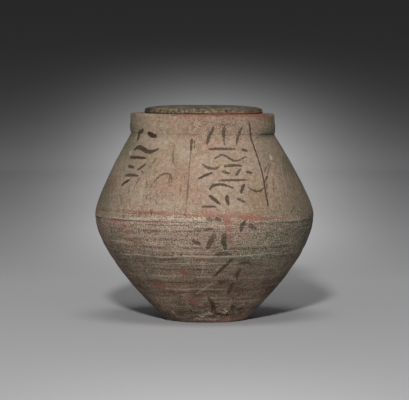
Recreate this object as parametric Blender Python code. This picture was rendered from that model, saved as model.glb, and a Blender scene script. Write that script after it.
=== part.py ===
"""Lidded shabti jar: a coarse pottery jar with a short upright neck, and its loose disc lid.

Metres, +Z up. The origin is the centre of the flat underside, and the painted front faces -Y.
The jar is turned from one closed profile, and its upper half is then settled a little sideways
and out of level. The lid lies on the rim, with a boss under it that keeps it over the mouth.
"""

import math

import bmesh
import bpy
from mathutils import Matrix, Vector

# The jar's outside, as a stack of heights from the foot up
LOWER_BODY_HEIGHT = 0.1388
BELT_HEIGHT = 0.0117
SHOULDER_HEIGHT = 0.1056
COLLAR_HEIGHT = 0.0274

# The jar's outside, across
FOOT_RADIUS = 0.0515
FOOT_ROUNDING = 0.0080
FOOT_WALL_ANGLE = math.radians(45)
BELT_RADIUS = 0.1494
BELT_SWELL = 0.0006
NECK_RADIUS = 0.0973
COLLAR_STEP = 0.0012
COLLAR_SWELL = 0.0010
RIM_ROUNDING = 0.0025

# How strongly the two cones bulge: 1 is straight
LOWER_BULGE = 1.56
SHOULDER_BULGE = 1.24

# The jar's inside
WALL = 0.0100
FLOOR = 0.0140
RIM_WIDTH = 0.0235
MOUTH_ROUNDING = 0.0015
MOUTH_DEPTH = 0.0200
THROAT_LENGTH = 0.0260

# The lid
LID_LAP = 0.0060
LID_EDGE = 0.0064
LID_EDGE_ROUNDING = 0.0020
LID_DOME = 0.0043
LID_DOME_POWER = 4.0
BOSS_DEPTH = 0.0090
BOSS_CHAMFER = 0.0020
BOSS_PLAY = 0.0025
SEAT_GAP = 0.0003

# How the form sits off true: its rings' shift along X, and the fall of their planes towards +X
RIM_SHIFT = -0.0051
NECK_FALL = 0.0130
RIM_FALL = 0.0050
LID_SLIDE = 0.6

# Facets of the turned solids
SEGMENTS = 68
LOWER_STEPS = 9
SHOULDER_STEPS = 7
ROUND_STEPS = 3
DOME_STEPS = 6

# What follows from them
BELT_BOTTOM = LOWER_BODY_HEIGHT
BELT_TOP = BELT_BOTTOM + BELT_HEIGHT
NECK_LEVEL = BELT_TOP + SHOULDER_HEIGHT
RIM_LEVEL = NECK_LEVEL + COLLAR_HEIGHT
COLLAR_RADIUS = NECK_RADIUS + COLLAR_STEP
MOUTH_RADIUS = COLLAR_RADIUS - RIM_WIDTH
LID_RADIUS = MOUTH_RADIUS + LID_LAP
BOSS_RADIUS = MOUTH_RADIUS - BOSS_PLAY


def blend(start, end, share):
    """The value this share of the way from start to end."""
    return start + (end - start) * share


def bulge(share, power):
    """A curve from 0 to 1 that rises fast and then levels off, more so with a higher power."""
    return 1 - (1 - share) ** power


def shares(steps):
    """steps + 1 values from 0 to 1."""
    return [step / steps for step in range(steps + 1)]


def arc(radius, height, rounding, start, end):
    """Points of a circle's arc around (radius, height), from one angle to another in degrees."""
    angles = [math.radians(blend(start, end, share)) for share in shares(ROUND_STEPS)]
    return [(radius + rounding * math.cos(a), height + rounding * math.sin(a)) for a in angles]


def lower_body():
    """The outside from the underside's edge up to the belt."""
    foot_turn = math.degrees(FOOT_WALL_ANGLE) - 90
    foot = arc(FOOT_RADIUS, FOOT_ROUNDING, FOOT_ROUNDING, -90, foot_turn)
    low_radius, low_height = foot[-1]
    cone = [
        (
            blend(low_radius, BELT_RADIUS, bulge(share, LOWER_BULGE)),
            blend(low_height, BELT_BOTTOM, share),
        )
        for share in shares(LOWER_STEPS)
    ]
    return foot + cone[1:]


def belt():
    """The nearly upright belt at the jar's widest part, without its lower edge."""
    middle = (BELT_RADIUS + BELT_SWELL, blend(BELT_BOTTOM, BELT_TOP, 0.5))
    return [middle, (BELT_RADIUS, BELT_TOP)]


def shoulder():
    """The outside from above the belt up to the crease under the collar."""
    return [
        (
            blend(NECK_RADIUS, BELT_RADIUS, bulge(share, SHOULDER_BULGE)),
            blend(NECK_LEVEL, BELT_TOP, share),
        )
        for share in reversed(shares(SHOULDER_STEPS)[:-1])
    ]


def collar():
    """The upright neck's outside: a soft swell above the crease, then plain up to the rim."""
    swell = [
        (
            COLLAR_RADIUS + COLLAR_SWELL * math.sin(math.pi * share),
            NECK_LEVEL + COLLAR_HEIGHT * (0.06 + 0.54 * share),
        )
        for share in shares(ROUND_STEPS + 1)
    ]
    rim_edge = arc(COLLAR_RADIUS - RIM_ROUNDING, RIM_LEVEL - RIM_ROUNDING, RIM_ROUNDING, 0, 90)
    return swell + rim_edge


def inset(profile, distance):
    """The profile moved sideways by distance, towards its left as it runs."""
    moved = []
    for index, (radius, height) in enumerate(profile):
        before = Vector(profile[max(index - 1, 0)])
        after = Vector(profile[min(index + 1, len(profile) - 1)])
        along = (after - before).normalized()
        moved.append((radius - along.y * distance, height + along.x * distance))
    return moved


def inside(outer_wall):
    """The inside from the rim's inner edge down to the middle of the floor."""
    mouth_edge = arc(
        MOUTH_RADIUS + MOUTH_ROUNDING, RIM_LEVEL - MOUTH_ROUNDING, MOUTH_ROUNDING, 90, 180
    )
    mouth_bottom = RIM_LEVEL - MOUTH_DEPTH
    throat_bottom = mouth_bottom - THROAT_LENGTH
    wall = [point for point in inset(outer_wall, WALL) if FLOOR < point[1] < throat_bottom]
    wall_top_radius, wall_top_height = wall[-1]
    throat = [
        (
            blend(MOUTH_RADIUS, wall_top_radius, 0.5 - 0.5 * math.cos(math.pi * share)),
            blend(mouth_bottom, wall_top_height, share),
        )
        for share in shares(ROUND_STEPS + 2)[:-1]
    ]
    floor_edge = (wall[0][0] - (wall[0][1] - FLOOR), FLOOR)
    return mouth_edge + throat + wall[::-1] + [floor_edge, (0.0, FLOOR)]


def jar_profile():
    """The jar's closed section, from the middle of the underside up the outside and down inside."""
    outer_wall = lower_body() + belt() + shoulder()
    return [(0.0, 0.0)] + outer_wall + collar() + inside(outer_wall)


def lid_profile():
    """The lid's closed section, from the middle of its boss outwards, with the rim's level as 0."""
    edge = arc(LID_RADIUS - LID_EDGE_ROUNDING, LID_EDGE_ROUNDING, LID_EDGE_ROUNDING, -90, 0)
    dome = [
        (LID_RADIUS * (1 - share), LID_EDGE + LID_DOME * bulge(share, LID_DOME_POWER))
        for share in shares(DOME_STEPS)
    ]
    return [
        (0.0, -BOSS_DEPTH),
        (BOSS_RADIUS - BOSS_CHAMFER, -BOSS_DEPTH),
        (BOSS_RADIUS, BOSS_CHAMFER - BOSS_DEPTH),
        (BOSS_RADIUS, 0.0),
        *edge,
        *dome,
    ]


def turned(name, profile, material):
    """A named object turned once round +Z from a profile of (radius, height) points."""
    mesh = bpy.data.meshes.new(name)
    shape = bmesh.new()
    points = [shape.verts.new((radius, 0.0, height)) for radius, height in profile]
    edges = [shape.edges.new(pair) for pair in zip(points, points[1:])]
    bmesh.ops.spin(
        shape, geom=points + edges, cent=(0, 0, 0), axis=(0, 0, 1), angle=math.tau, steps=SEGMENTS
    )
    bmesh.ops.remove_doubles(shape, verts=shape.verts, dist=1e-6)
    bmesh.ops.recalc_face_normals(shape, faces=shape.faces)
    shape.to_mesh(mesh)
    shape.free()
    mesh.shade_smooth()
    mesh.set_sharp_from_angle(angle=math.radians(40))
    mesh.materials.append(material)
    turned_object = bpy.data.objects.new(name, mesh)
    bpy.context.scene.collection.objects.link(turned_object)
    return turned_object


def ring_shift(height):
    """How far the middle of the ring at this height has moved along X."""
    return RIM_SHIFT * height / RIM_LEVEL


def ring_fall(height):
    """How steeply the plane of the ring at this height falls towards +X: none up to the belt."""
    if height <= BELT_TOP:
        return 0.0
    if height <= NECK_LEVEL:
        return blend(0.0, NECK_FALL, (height - BELT_TOP) / SHOULDER_HEIGHT)
    return blend(NECK_FALL, RIM_FALL, (height - NECK_LEVEL) / COLLAR_HEIGHT)


def settle(turned_object):
    """Moves each ring of a true turned form to where it sits on the settled one."""
    for vertex in turned_object.data.vertices:
        height = vertex.co.z
        vertex.co.z -= ring_fall(height) * vertex.co.x
        vertex.co.x += ring_shift(height)


def lay_on_rim(lid):
    """Lays the lid on the settled rim, slid towards +X by part of the play round its boss."""
    rim_centre = Vector((ring_shift(RIM_LEVEL), 0.0, RIM_LEVEL + SEAT_GAP))
    lid.matrix_world = (
        Matrix.Translation(rim_centre)
        @ Matrix.Rotation(math.atan(RIM_FALL), 4, "Y")
        @ Matrix.Translation((LID_SLIDE * BOSS_PLAY, 0.0, 0.0))
    )


def pottery(name, colour, roughness):
    """A dull fired-clay material."""
    material = bpy.data.materials.new(name)
    material.use_nodes = True
    shader = material.node_tree.nodes["Principled BSDF"]
    shader.inputs["Base Color"].default_value = (*colour, 1.0)
    shader.inputs["Roughness"].default_value = roughness
    shader.inputs["Metallic"].default_value = 0.0
    return material


def build():
    """Clears the scene and models the jar and its lid."""
    for old in list(bpy.data.objects):
        bpy.data.objects.remove(old)

    jar = turned("jar", jar_profile(), pottery("slipped_clay", (0.33, 0.25, 0.19), 0.88))
    settle(jar)
    lid = turned("lid", lid_profile(), pottery("lid_clay", (0.22, 0.19, 0.14), 0.92))
    lay_on_rim(lid)


build()
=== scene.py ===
"""Looks of a lidded shabti jar: worn slip, brush marks, turning lines and crust over its solids.

Metres, +Z up, the painted front towards -Y. Each piece is a surface turned from the same section as
its solid, on a fine grid. Its wear is worked out on that grid, as relief and as attributes that its
finish reads. Marks and wear are placed in millimetres, across from the front's middle and up from
the underside.
"""

import itertools
import logging
import math
from collections.abc import Sequence
from dataclasses import dataclass, field
from enum import Enum

import bpy
import numpy as np
from mathutils import Matrix, Vector


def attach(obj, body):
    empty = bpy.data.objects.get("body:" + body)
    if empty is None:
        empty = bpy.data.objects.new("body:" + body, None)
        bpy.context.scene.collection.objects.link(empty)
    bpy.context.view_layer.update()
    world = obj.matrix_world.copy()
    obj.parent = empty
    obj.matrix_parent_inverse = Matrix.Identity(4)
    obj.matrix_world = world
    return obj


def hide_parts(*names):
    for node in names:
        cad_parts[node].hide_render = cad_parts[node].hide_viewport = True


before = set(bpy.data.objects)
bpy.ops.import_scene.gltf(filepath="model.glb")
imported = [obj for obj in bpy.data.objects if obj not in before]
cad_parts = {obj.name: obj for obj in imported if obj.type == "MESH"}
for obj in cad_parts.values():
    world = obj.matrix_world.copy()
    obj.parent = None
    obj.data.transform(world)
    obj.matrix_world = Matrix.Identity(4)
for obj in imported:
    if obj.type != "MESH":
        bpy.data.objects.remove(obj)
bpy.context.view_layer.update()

LOG = logging.getLogger("shabti_jar")
MM = 0.001
OCTAVE_STRENGTH = 0.55
FRACTAL_GAIN = 1.35

Array = np.ndarray
Colour = tuple[float, float, float]
Point = tuple[float, float]
Cuts = tuple[tuple[float, float, float], ...]


def each(kind: type, *rows: tuple) -> tuple:
    """One object of a kind for each row of its fields' values."""
    return tuple(kind(*row) for row in rows)


def blend(start: Array | float, end: Array | float, share: Array | float) -> Array | float:
    """The value this share of the way from start to end."""
    return start + (end - start) * share


def bulge(share: Array, power: float) -> Array:
    """1 - (1 - share)^power: rises fast and then levels off."""
    return 1 - (1 - share) ** power


def bell(off: Array, width: float) -> Array:
    """A bell curve, exp(-(off / width)^2)."""
    return np.exp(-((off / width) ** 2))


def step(value: Array | float, low: float, high: float) -> Array:
    """A soft step, 3t^2 - 2t^3, from 0 at low to 1 at high. It falls where low is above high."""
    share = np.clip((value - low) / (high - low), 0.0, 1.0)
    return share * share * (3 - 2 * share)


def arc(radius: float, height: float, rounding: float, start: float, end: float) -> Array:
    """Points of a circle's arc in the section.

    The formula is centre + rounding * (cos a, sin a), with a going evenly from start to end.

    Args:
        radius, height: the arc's centre.
        rounding: the arc's radius.
        start, end: its angles in degrees.

    Returns:
        Nine rows of (radius, height).
    """
    angle = np.radians(np.linspace(start, end, 9))
    return np.column_stack((radius + rounding * np.cos(angle), height + rounding * np.sin(angle)))


def cone(low: Point, high: Point, share: Array, power: float) -> Array:
    """Rows of (radius, height) from low to high: the height goes evenly, the radius by bulge."""
    radius = blend(low[0], high[0], bulge(share, power))
    return np.column_stack((radius, blend(low[1], high[1], share)))


def lengths(section: Array) -> Array:
    """The length along a section up to each of its points."""
    return np.concatenate([[0.0], np.cumsum(np.linalg.norm(np.diff(section, axis=0), axis=1))])


def resampled(section: Array, parts: int) -> Array:
    """The section cut into equal lengths, by linear interpolation along it.

    Args:
        section: rows of (radius, height).
        parts: how many equal parts to cut it into.

    Returns:
        parts + 1 rows of (radius, height).
    """
    run = lengths(section)
    even = np.linspace(0.0, run[-1], parts + 1)
    return np.column_stack([np.interp(even, run, section[:, axis]) for axis in (0, 1)])


def in_scene(name: str, data: bpy.types.ID) -> bpy.types.Object:
    """Puts a new object into the scene.

    Args:
        name: the object's name.
        data: its mesh, light or camera.

    Returns:
        The object.
    """
    made = bpy.data.objects.new(name, data)
    bpy.context.scene.collection.objects.link(made)
    return made


@dataclass(frozen=True)
class Lattice:
    """Seeded noise over points in space, the same on every run."""

    seed: int

    def hashed(self, cell: Array, salt: int = 0) -> Array:
        """A number from 0 to 1 for each whole-numbered cell.

        The cell's three numbers are multiplied by primes, added, and their bits mixed twice.

        Args:
            cell: whole numbers, with x, y and z on the last axis.
            salt: sets one drawing apart from another for the same cell.

        Returns:
            One number for each cell.
        """
        primes = np.array([73856093, 19349663, 83492791], dtype=np.int64)
        mixed = (cell.astype(np.int64) * primes).sum(axis=-1) + self.seed * 91757 + salt * 6151
        mixed = mixed.astype(np.uint64) & np.uint64(0xFFFFFFFF)
        for shift, factor in ((15, 2246822519), (13, 3266489917)):
            mixed ^= mixed >> np.uint64(shift)
            mixed = (mixed * np.uint64(factor)) & np.uint64(0xFFFFFFFF)
        return (mixed ^ (mixed >> np.uint64(16))) / float(0xFFFFFFFF)

    def noise(self, points: Array, size: float | tuple) -> Array:
        """Smooth noise from -1 to 1: hashed lattice corners blended by 6t^5 - 15t^4 + 10t^3.

        Args:
            points: places, with x, y and z on the last axis.
            size: the lattice's spacing in metres, one number or one for each axis.

        Returns:
            One number for each place.
        """
        place = points / np.asarray(size)
        cell = np.floor(place)
        share = place - cell
        share = share**3 * (share * (share * 6 - 15) + 10)
        total = np.zeros(points.shape[:-1])
        for corner in itertools.product((0, 1), repeat=3):
            weight = np.where(np.array(corner) == 1, share, 1 - share).prod(axis=-1)
            total += weight * self.hashed(cell + corner)
        return 2 * total - 1

    def fractal(self, points: Array, size: float | tuple, octaves: int = 3) -> Array:
        """Noise added to itself at half the size and with less strength, octave after octave.

        Args:
            points: places, with x, y and z on the last axis.
            size: the first octave's spacing in metres.
            octaves: how many layers of noise to add.

        Returns:
            One number for each place, about -1 to 1.
        """
        strengths = OCTAVE_STRENGTH ** np.arange(octaves)
        total = np.zeros(points.shape[:-1])
        for octave, strength in enumerate(strengths):
            layer = Lattice(self.seed + 101 * octave)
            total += strength * layer.noise(points, np.asarray(size) / 2**octave)
        return total / strengths.sum() * FRACTAL_GAIN

    def pits(self, points: Array, size: float, share: float) -> Array:
        """Round hollows scattered in space, 1 in their middle and 0 outside.

        Each cubic cell of the lattice may hold one ball at a hashed place, with a radius of 0.18 to
        0.45 of the cell. The value is a soft step from its surface to its middle.

        Args:
            points: places, with x, y and z on the last axis.
            size: the cells' size in metres.
            share: the share of cells that hold one.

        Returns:
            One number for each place.
        """
        place = points / size
        cell = np.floor(place)
        depth = np.zeros(points.shape[:-1])
        for offset in itertools.product((-1, 0, 1), repeat=3):
            near = cell + offset
            middle = near + np.stack([self.hashed(near, salt) for salt in (2, 3, 4)], axis=-1)
            radius = blend(0.18, 0.45, self.hashed(near, 5) ** 2)
            ball = step(np.linalg.norm(place - middle, axis=-1) / radius, 1, 0)
            depth = np.maximum(depth, (self.hashed(near, 1) < share) * ball)
        return depth


@dataclass(frozen=True)
class JarForm:
    """The jar's sizes, as its solid has them, and its section."""

    lower_body_height: float = 0.1388
    belt_height: float = 0.0117
    shoulder_height: float = 0.1056
    collar_height: float = 0.0274
    foot_radius: float = 0.0515
    foot_rounding: float = 0.0080
    foot_wall_angle: float = 45.0
    belt_radius: float = 0.1494
    belt_swell: float = 0.0006
    neck_radius: float = 0.0973
    collar_step: float = 0.0012
    collar_swell: float = 0.0010
    rim_rounding: float = 0.0025
    lower_bulge: float = 1.56
    shoulder_bulge: float = 1.24
    wall: float = 0.0100
    floor: float = 0.0140
    rim_width: float = 0.0235
    mouth_rounding: float = 0.0015
    mouth_depth: float = 0.0200
    throat_length: float = 0.0260
    rim_shift: float = -0.0051
    neck_fall: float = 0.0130
    rim_fall: float = 0.0050
    wall_steps: tuple[int, int] = (9, 7)
    fine_steps: tuple[int, int] = (180, 150)

    @property
    def belt_bottom(self) -> float:
        """The level of the belt's lower edge."""
        return self.lower_body_height

    @property
    def belt_top(self) -> float:
        """The level of the belt's upper edge."""
        return self.belt_bottom + self.belt_height

    @property
    def neck_level(self) -> float:
        """The level of the crease under the collar."""
        return self.belt_top + self.shoulder_height

    @property
    def rim_level(self) -> float:
        """The level of the rim's flat top."""
        return self.neck_level + self.collar_height

    @property
    def collar_radius(self) -> float:
        """The radius of the upright neck."""
        return self.neck_radius + self.collar_step

    @property
    def mouth_radius(self) -> float:
        """The radius of the mouth."""
        return self.collar_radius - self.rim_width

    def outer_wall(self, steps: tuple[int, int]) -> Array:
        """The outside from the underside's edge up to the crease under the collar.

        The foot is an arc. The lower body's radius grows from the arc's end to the belt by
        1 - (1 - t)^lower_bulge while its level rises evenly. The belt swells by belt_swell, and the
        shoulder is the lower body's formula upside down, with shoulder_bulge.

        Args:
            steps: how many parts the lower body and the shoulder have.

        Returns:
            Rows of (radius, height).
        """
        rounding, turn = self.foot_rounding, self.foot_wall_angle - 90
        foot = arc(self.foot_radius, rounding, rounding, -90, turn)
        rise, fall = np.linspace(0, 1, steps[0] + 1)[1:], np.linspace(1, 0, steps[1] + 1)[1:]
        edge, top = (self.belt_radius, self.belt_bottom), (self.belt_radius, self.belt_top)
        middle = (self.belt_radius + self.belt_swell, self.belt_bottom + self.belt_height / 2)
        lower = cone(foot[-1], edge, rise, self.lower_bulge)
        shoulder = cone((self.neck_radius, self.neck_level), top, fall, self.shoulder_bulge)
        return np.concatenate([foot, lower, [middle, top], shoulder])

    def outside(self) -> Array:
        """The outside from the underside's edge up to the rim's flat top.

        Above the crease the collar swells by sin(pi t) over its lower part, runs plain, and turns
        in over an arc.

        Returns:
            Rows of (radius, height).
        """
        rise = np.linspace(0, 1, 12)
        radius = self.collar_radius + self.collar_swell * np.sin(np.pi * rise)
        level = self.neck_level + self.collar_height * (0.06 + 0.54 * rise)
        rounding = self.rim_rounding
        edge = arc(self.collar_radius - rounding, self.rim_level - rounding, rounding, 0, 90)
        collar = np.column_stack((radius, level))
        return np.concatenate([self.outer_wall(self.fine_steps), collar, edge])

    def inside(self) -> Array:
        """The inside from the rim's inner edge to the middle of the floor.

        The wall's inner face is the outside's coarse section moved in by the wall's thickness along
        its normals, and the throat above it narrows to the mouth by half a cosine.

        Returns:
            Rows of (radius, height).
        """
        outer = self.outer_wall(self.wall_steps)
        along = np.gradient(outer, axis=0)
        along /= np.linalg.norm(along, axis=1, keepdims=True)
        inner = outer + self.wall * np.column_stack((-along[:, 1], along[:, 0]))
        throat_top = self.rim_level - self.mouth_depth
        throat_end = throat_top - self.throat_length
        inner = inner[(inner[:, 1] > self.floor) & (inner[:, 1] < throat_end)]
        fall = np.linspace(0, 1, 8)[:-1]
        radius = blend(self.mouth_radius, inner[-1, 0], 0.5 - 0.5 * np.cos(np.pi * fall))
        throat = np.column_stack((radius, blend(throat_top, inner[-1, 1], fall)))
        rounding = self.mouth_rounding
        mouth = arc(self.mouth_radius + rounding, self.rim_level - rounding, rounding, 90, 180)
        floor_edge = (inner[0, 0] - (inner[0, 1] - self.floor), self.floor)
        return np.concatenate([mouth[::2], throat, inner[::-1], [floor_edge, (0.0, self.floor)]])

    def settle(self, points: Array) -> Array:
        """Moves each ring to where it sits on the settled jar.

        A ring's plane falls towards +X by a slope that is 0 up to the belt, neck_fall at the crease
        and rim_fall at the rim, and its middle moves along X in proportion to its level.

        Args:
            points: places on the true turned form, with x, y and z on the last axis.

        Returns:
            The settled places.
        """
        level = points[..., 2]
        levels = (self.belt_top, self.neck_level, self.rim_level)
        fall = np.interp(level, levels, (0.0, self.neck_fall, self.rim_fall))
        settled = points.copy()
        settled[..., 2] -= fall * points[..., 0]
        settled[..., 0] += self.rim_shift * level / self.rim_level
        return settled


@dataclass
class TurnedGrid:
    """A closed section turned round +Z, on a grid of rows along the section and columns round it.

    Row 0 and the last row are poles. Column angles run from the back round the front (angle 0, at
    -Y) to the back, as t - crowding * sin t, so that the columns stand closer at the front.
    """

    section: Array
    columns: int
    crowding: float
    map_margin: float = 0.002
    angle: Array = field(init=False)
    length: Array = field(init=False)
    normal: Array = field(init=False)

    def __post_init__(self) -> None:
        """Works out the column angles, the length along the section and its outward normals."""
        turn = np.linspace(-math.pi, math.pi, self.columns + 1)[:-1]
        self.angle = turn - self.crowding * np.sin(turn)
        self.length = lengths(self.section)
        along = np.gradient(self.section, self.length, axis=0)
        along /= np.linalg.norm(along, axis=1, keepdims=True)
        self.normal = np.column_stack((along[:, 1], -along[:, 0]))

    @property
    def radius(self) -> Array:
        """Each row's radius, as a column."""
        return self.section[:, :1]

    @property
    def level(self) -> Array:
        """Each row's height, as a column."""
        return self.section[:, 1:]

    @property
    def across(self) -> Array:
        """How far each place lies across from the front's middle, in millimetres."""
        return self.radius * np.sin(self.angle) / MM

    @property
    def shape(self) -> tuple[int, int]:
        """Rows and columns."""
        return len(self.section), self.columns

    def points(self, relief: Array | float = 0.0) -> Array:
        """The grid's places, (r sin a, -r cos a, z), with r and z moved by relief along the normal.

        Args:
            relief: how far each place stands out, in metres.

        Returns:
            An array of rows, columns and x, y, z.
        """
        radius = self.radius + self.normal[:, :1] * relief
        level = np.broadcast_to(self.level + self.normal[:, 1:] * relief, self.shape)
        return np.stack([radius * np.sin(self.angle), -radius * np.cos(self.angle), level], axis=-1)

    def faces(self) -> list[list[int]]:
        """Quads between the rows, and a fan of triangles round each pole, all facing outwards.

        Returns:
            The vertex numbers of each face.
        """
        rows, columns = self.shape
        last = 1 + columns * (rows - 2)
        here = np.arange(1, last).reshape(rows - 2, columns)
        right = np.roll(here, -1, axis=1)
        quads = np.stack([here[:-1], right[:-1], right[1:], here[1:]], axis=-1).reshape(-1, 4)
        start = np.column_stack((np.zeros(columns, int), right[0], here[0]))
        end = np.column_stack((here[-1], right[-1], np.full(columns, last)))
        return start.tolist() + quads.tolist() + end.tolist()

    def corners(self) -> Array:
        """A map place for each face corner: the share of the columns across, and of the rows up.

        A pole's corners stand at the middle of their column.

        Returns:
            Rows of (u, v), in the order of the faces' corners.
        """
        rows, columns = self.shape
        across, up = np.meshgrid(np.arange(columns), np.arange(1, rows - 2))
        quads = np.stack([across, up, across + 1, up, across + 1, up + 1, across, up + 1], axis=-1)
        column, one = np.arange(columns), np.ones(columns)
        before = (rows - 2) * one
        start = np.column_stack((column + 0.5, 0 * one, column + 1, one, column, one))
        end = np.column_stack((column, before, column + 1, before, column + 0.5, before + 1))
        places = np.concatenate([part.reshape(-1, 2) for part in (start, quads, end)])
        return self.map_margin + (1 - 2 * self.map_margin) * places / (columns, rows - 1)

    def flat(self, values: Array) -> Array:
        """The grid's values in the mesh's order, with one value for each pole."""
        middle = values[1:-1].reshape(-1, *values.shape[2:])
        return np.concatenate([values[:1, 0], middle, values[-1:, 0]])

    def mesh_object(self, name: str, points: Array, values: dict[str, Array]) -> bpy.types.Object:
        """Puts the grid into a new object at the origin.

        Args:
            name: the object's name.
            points: the grid's finished places.
            values: attributes by name, each a number for every place of the grid.

        Returns:
            The object, with its attributes and its map OFBake.
        """
        mesh = bpy.data.meshes.new(name)
        mesh.from_pydata(self.flat(points).tolist(), [], self.faces())
        mesh.shade_smooth()
        layer = mesh.uv_layers.new(name="OFBake")
        layer.data.foreach_set("uv", self.corners().astype(np.float32).ravel())
        for key, value in values.items():
            attribute = mesh.attributes.new(key, "FLOAT", "POINT")
            data = np.broadcast_to(value, self.shape)
            attribute.data.foreach_set("value", self.flat(data).astype(np.float32))
        return in_scene(name, mesh)


class Mark(Enum):
    """Plain brush marks that are no letters, as points (across, up) in a unit box."""

    BAR = ((0.0, 0.42), (0.45, 0.62), (1.0, 0.48))
    POST = ((0.46, 1.0), (0.40, 0.55), (0.56, 0.0))
    LEAN = ((0.80, 1.0), (0.45, 0.5), (0.25, 0.0))
    SLANT = ((1.0, 1.0), (0.55, 0.58), (0.0, 0.0))
    FALL = ((0.0, 1.0), (0.42, 0.60), (1.0, 0.0))
    BOW = ((0.0, 0.05), (0.22, 0.80), (0.60, 1.0), (1.0, 0.40))
    CUP = ((0.0, 0.80), (0.30, 0.10), (0.75, 0.0), (1.0, 0.60))
    SWEEP = ((0.0, 0.35), (0.22, 0.95), (0.62, 0.10), (1.0, 0.75))
    DAB = ((0.15, 0.65), (0.85, 0.35))


@dataclass(frozen=True)
class Stroke:
    """One brush stroke, smear, crack or scratch on the painted front.

    Points are (across, level), width is the brush's at its widest, and load says how much paint it
    carries, from 0 to 1.
    """

    points: tuple[Point, ...]
    width: float
    load: float

    def path(self) -> Array:
        """A smooth curve through the points.

        Between two points it is a cubic in six parts. Its direction at each point is that of the
        line between the point's neighbours, and the end points are repeated.

        Returns:
            Rows of (across, level), in metres.
        """
        held = np.array([self.points[0], *self.points, self.points[-1]]) * MM
        share = np.linspace(0, 1, 7)[:-1, None]
        spans = []
        for a, b, c, d in zip(held, held[1:], held[2:], held[3:]):
            bend, twist = 2 * a - 5 * b + 4 * c - d, 3 * b - 3 * c + d - a
            spans.append(0.5 * (2 * b + (c - a) * share + bend * share**2 + twist * share**3))
        return np.concatenate([*spans, held[-1:]])

    def half_widths(self, count: int) -> Array:
        """The brush's half width along the path in metres: full early on, thinner at both ends."""
        share = np.linspace(0, 1, count)
        return 0.54 * self.width * MM * (0.28 + 0.72 * np.sin(np.pi * share**0.75) ** 0.6)


@dataclass(frozen=True)
class MarkRow:
    """A row of brush marks side by side, each filling most of its equal share of the row."""

    marks: tuple[Mark, ...]
    left: float
    right: float
    level: float
    height: float
    width: float
    load: float
    filled: float = 0.84
    uneven: float = 0.05

    def strokes(self, chance: np.random.Generator) -> list[Stroke]:
        """One stroke for each mark, a little uneven in form, width and load.

        Args:
            chance: draws the unevenness.

        Returns:
            The row's strokes.
        """
        made = []
        share = (self.right - self.left) / len(self.marks)
        box = np.array([share * self.filled, self.height])
        for index, mark in enumerate(self.marks):
            left = self.left + share * (index + (1 - self.filled) / 2)
            points = np.array(mark.value)
            points = points + chance.uniform(-self.uneven, self.uneven, points.shape)
            placed = (left, self.level - self.height / 2) + points * box
            width, load = (self.width, self.load) * chance.uniform(0.84, 1.10, 2)
            made.append(Stroke(tuple(map(tuple, placed)), width, load))
        return made


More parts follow.
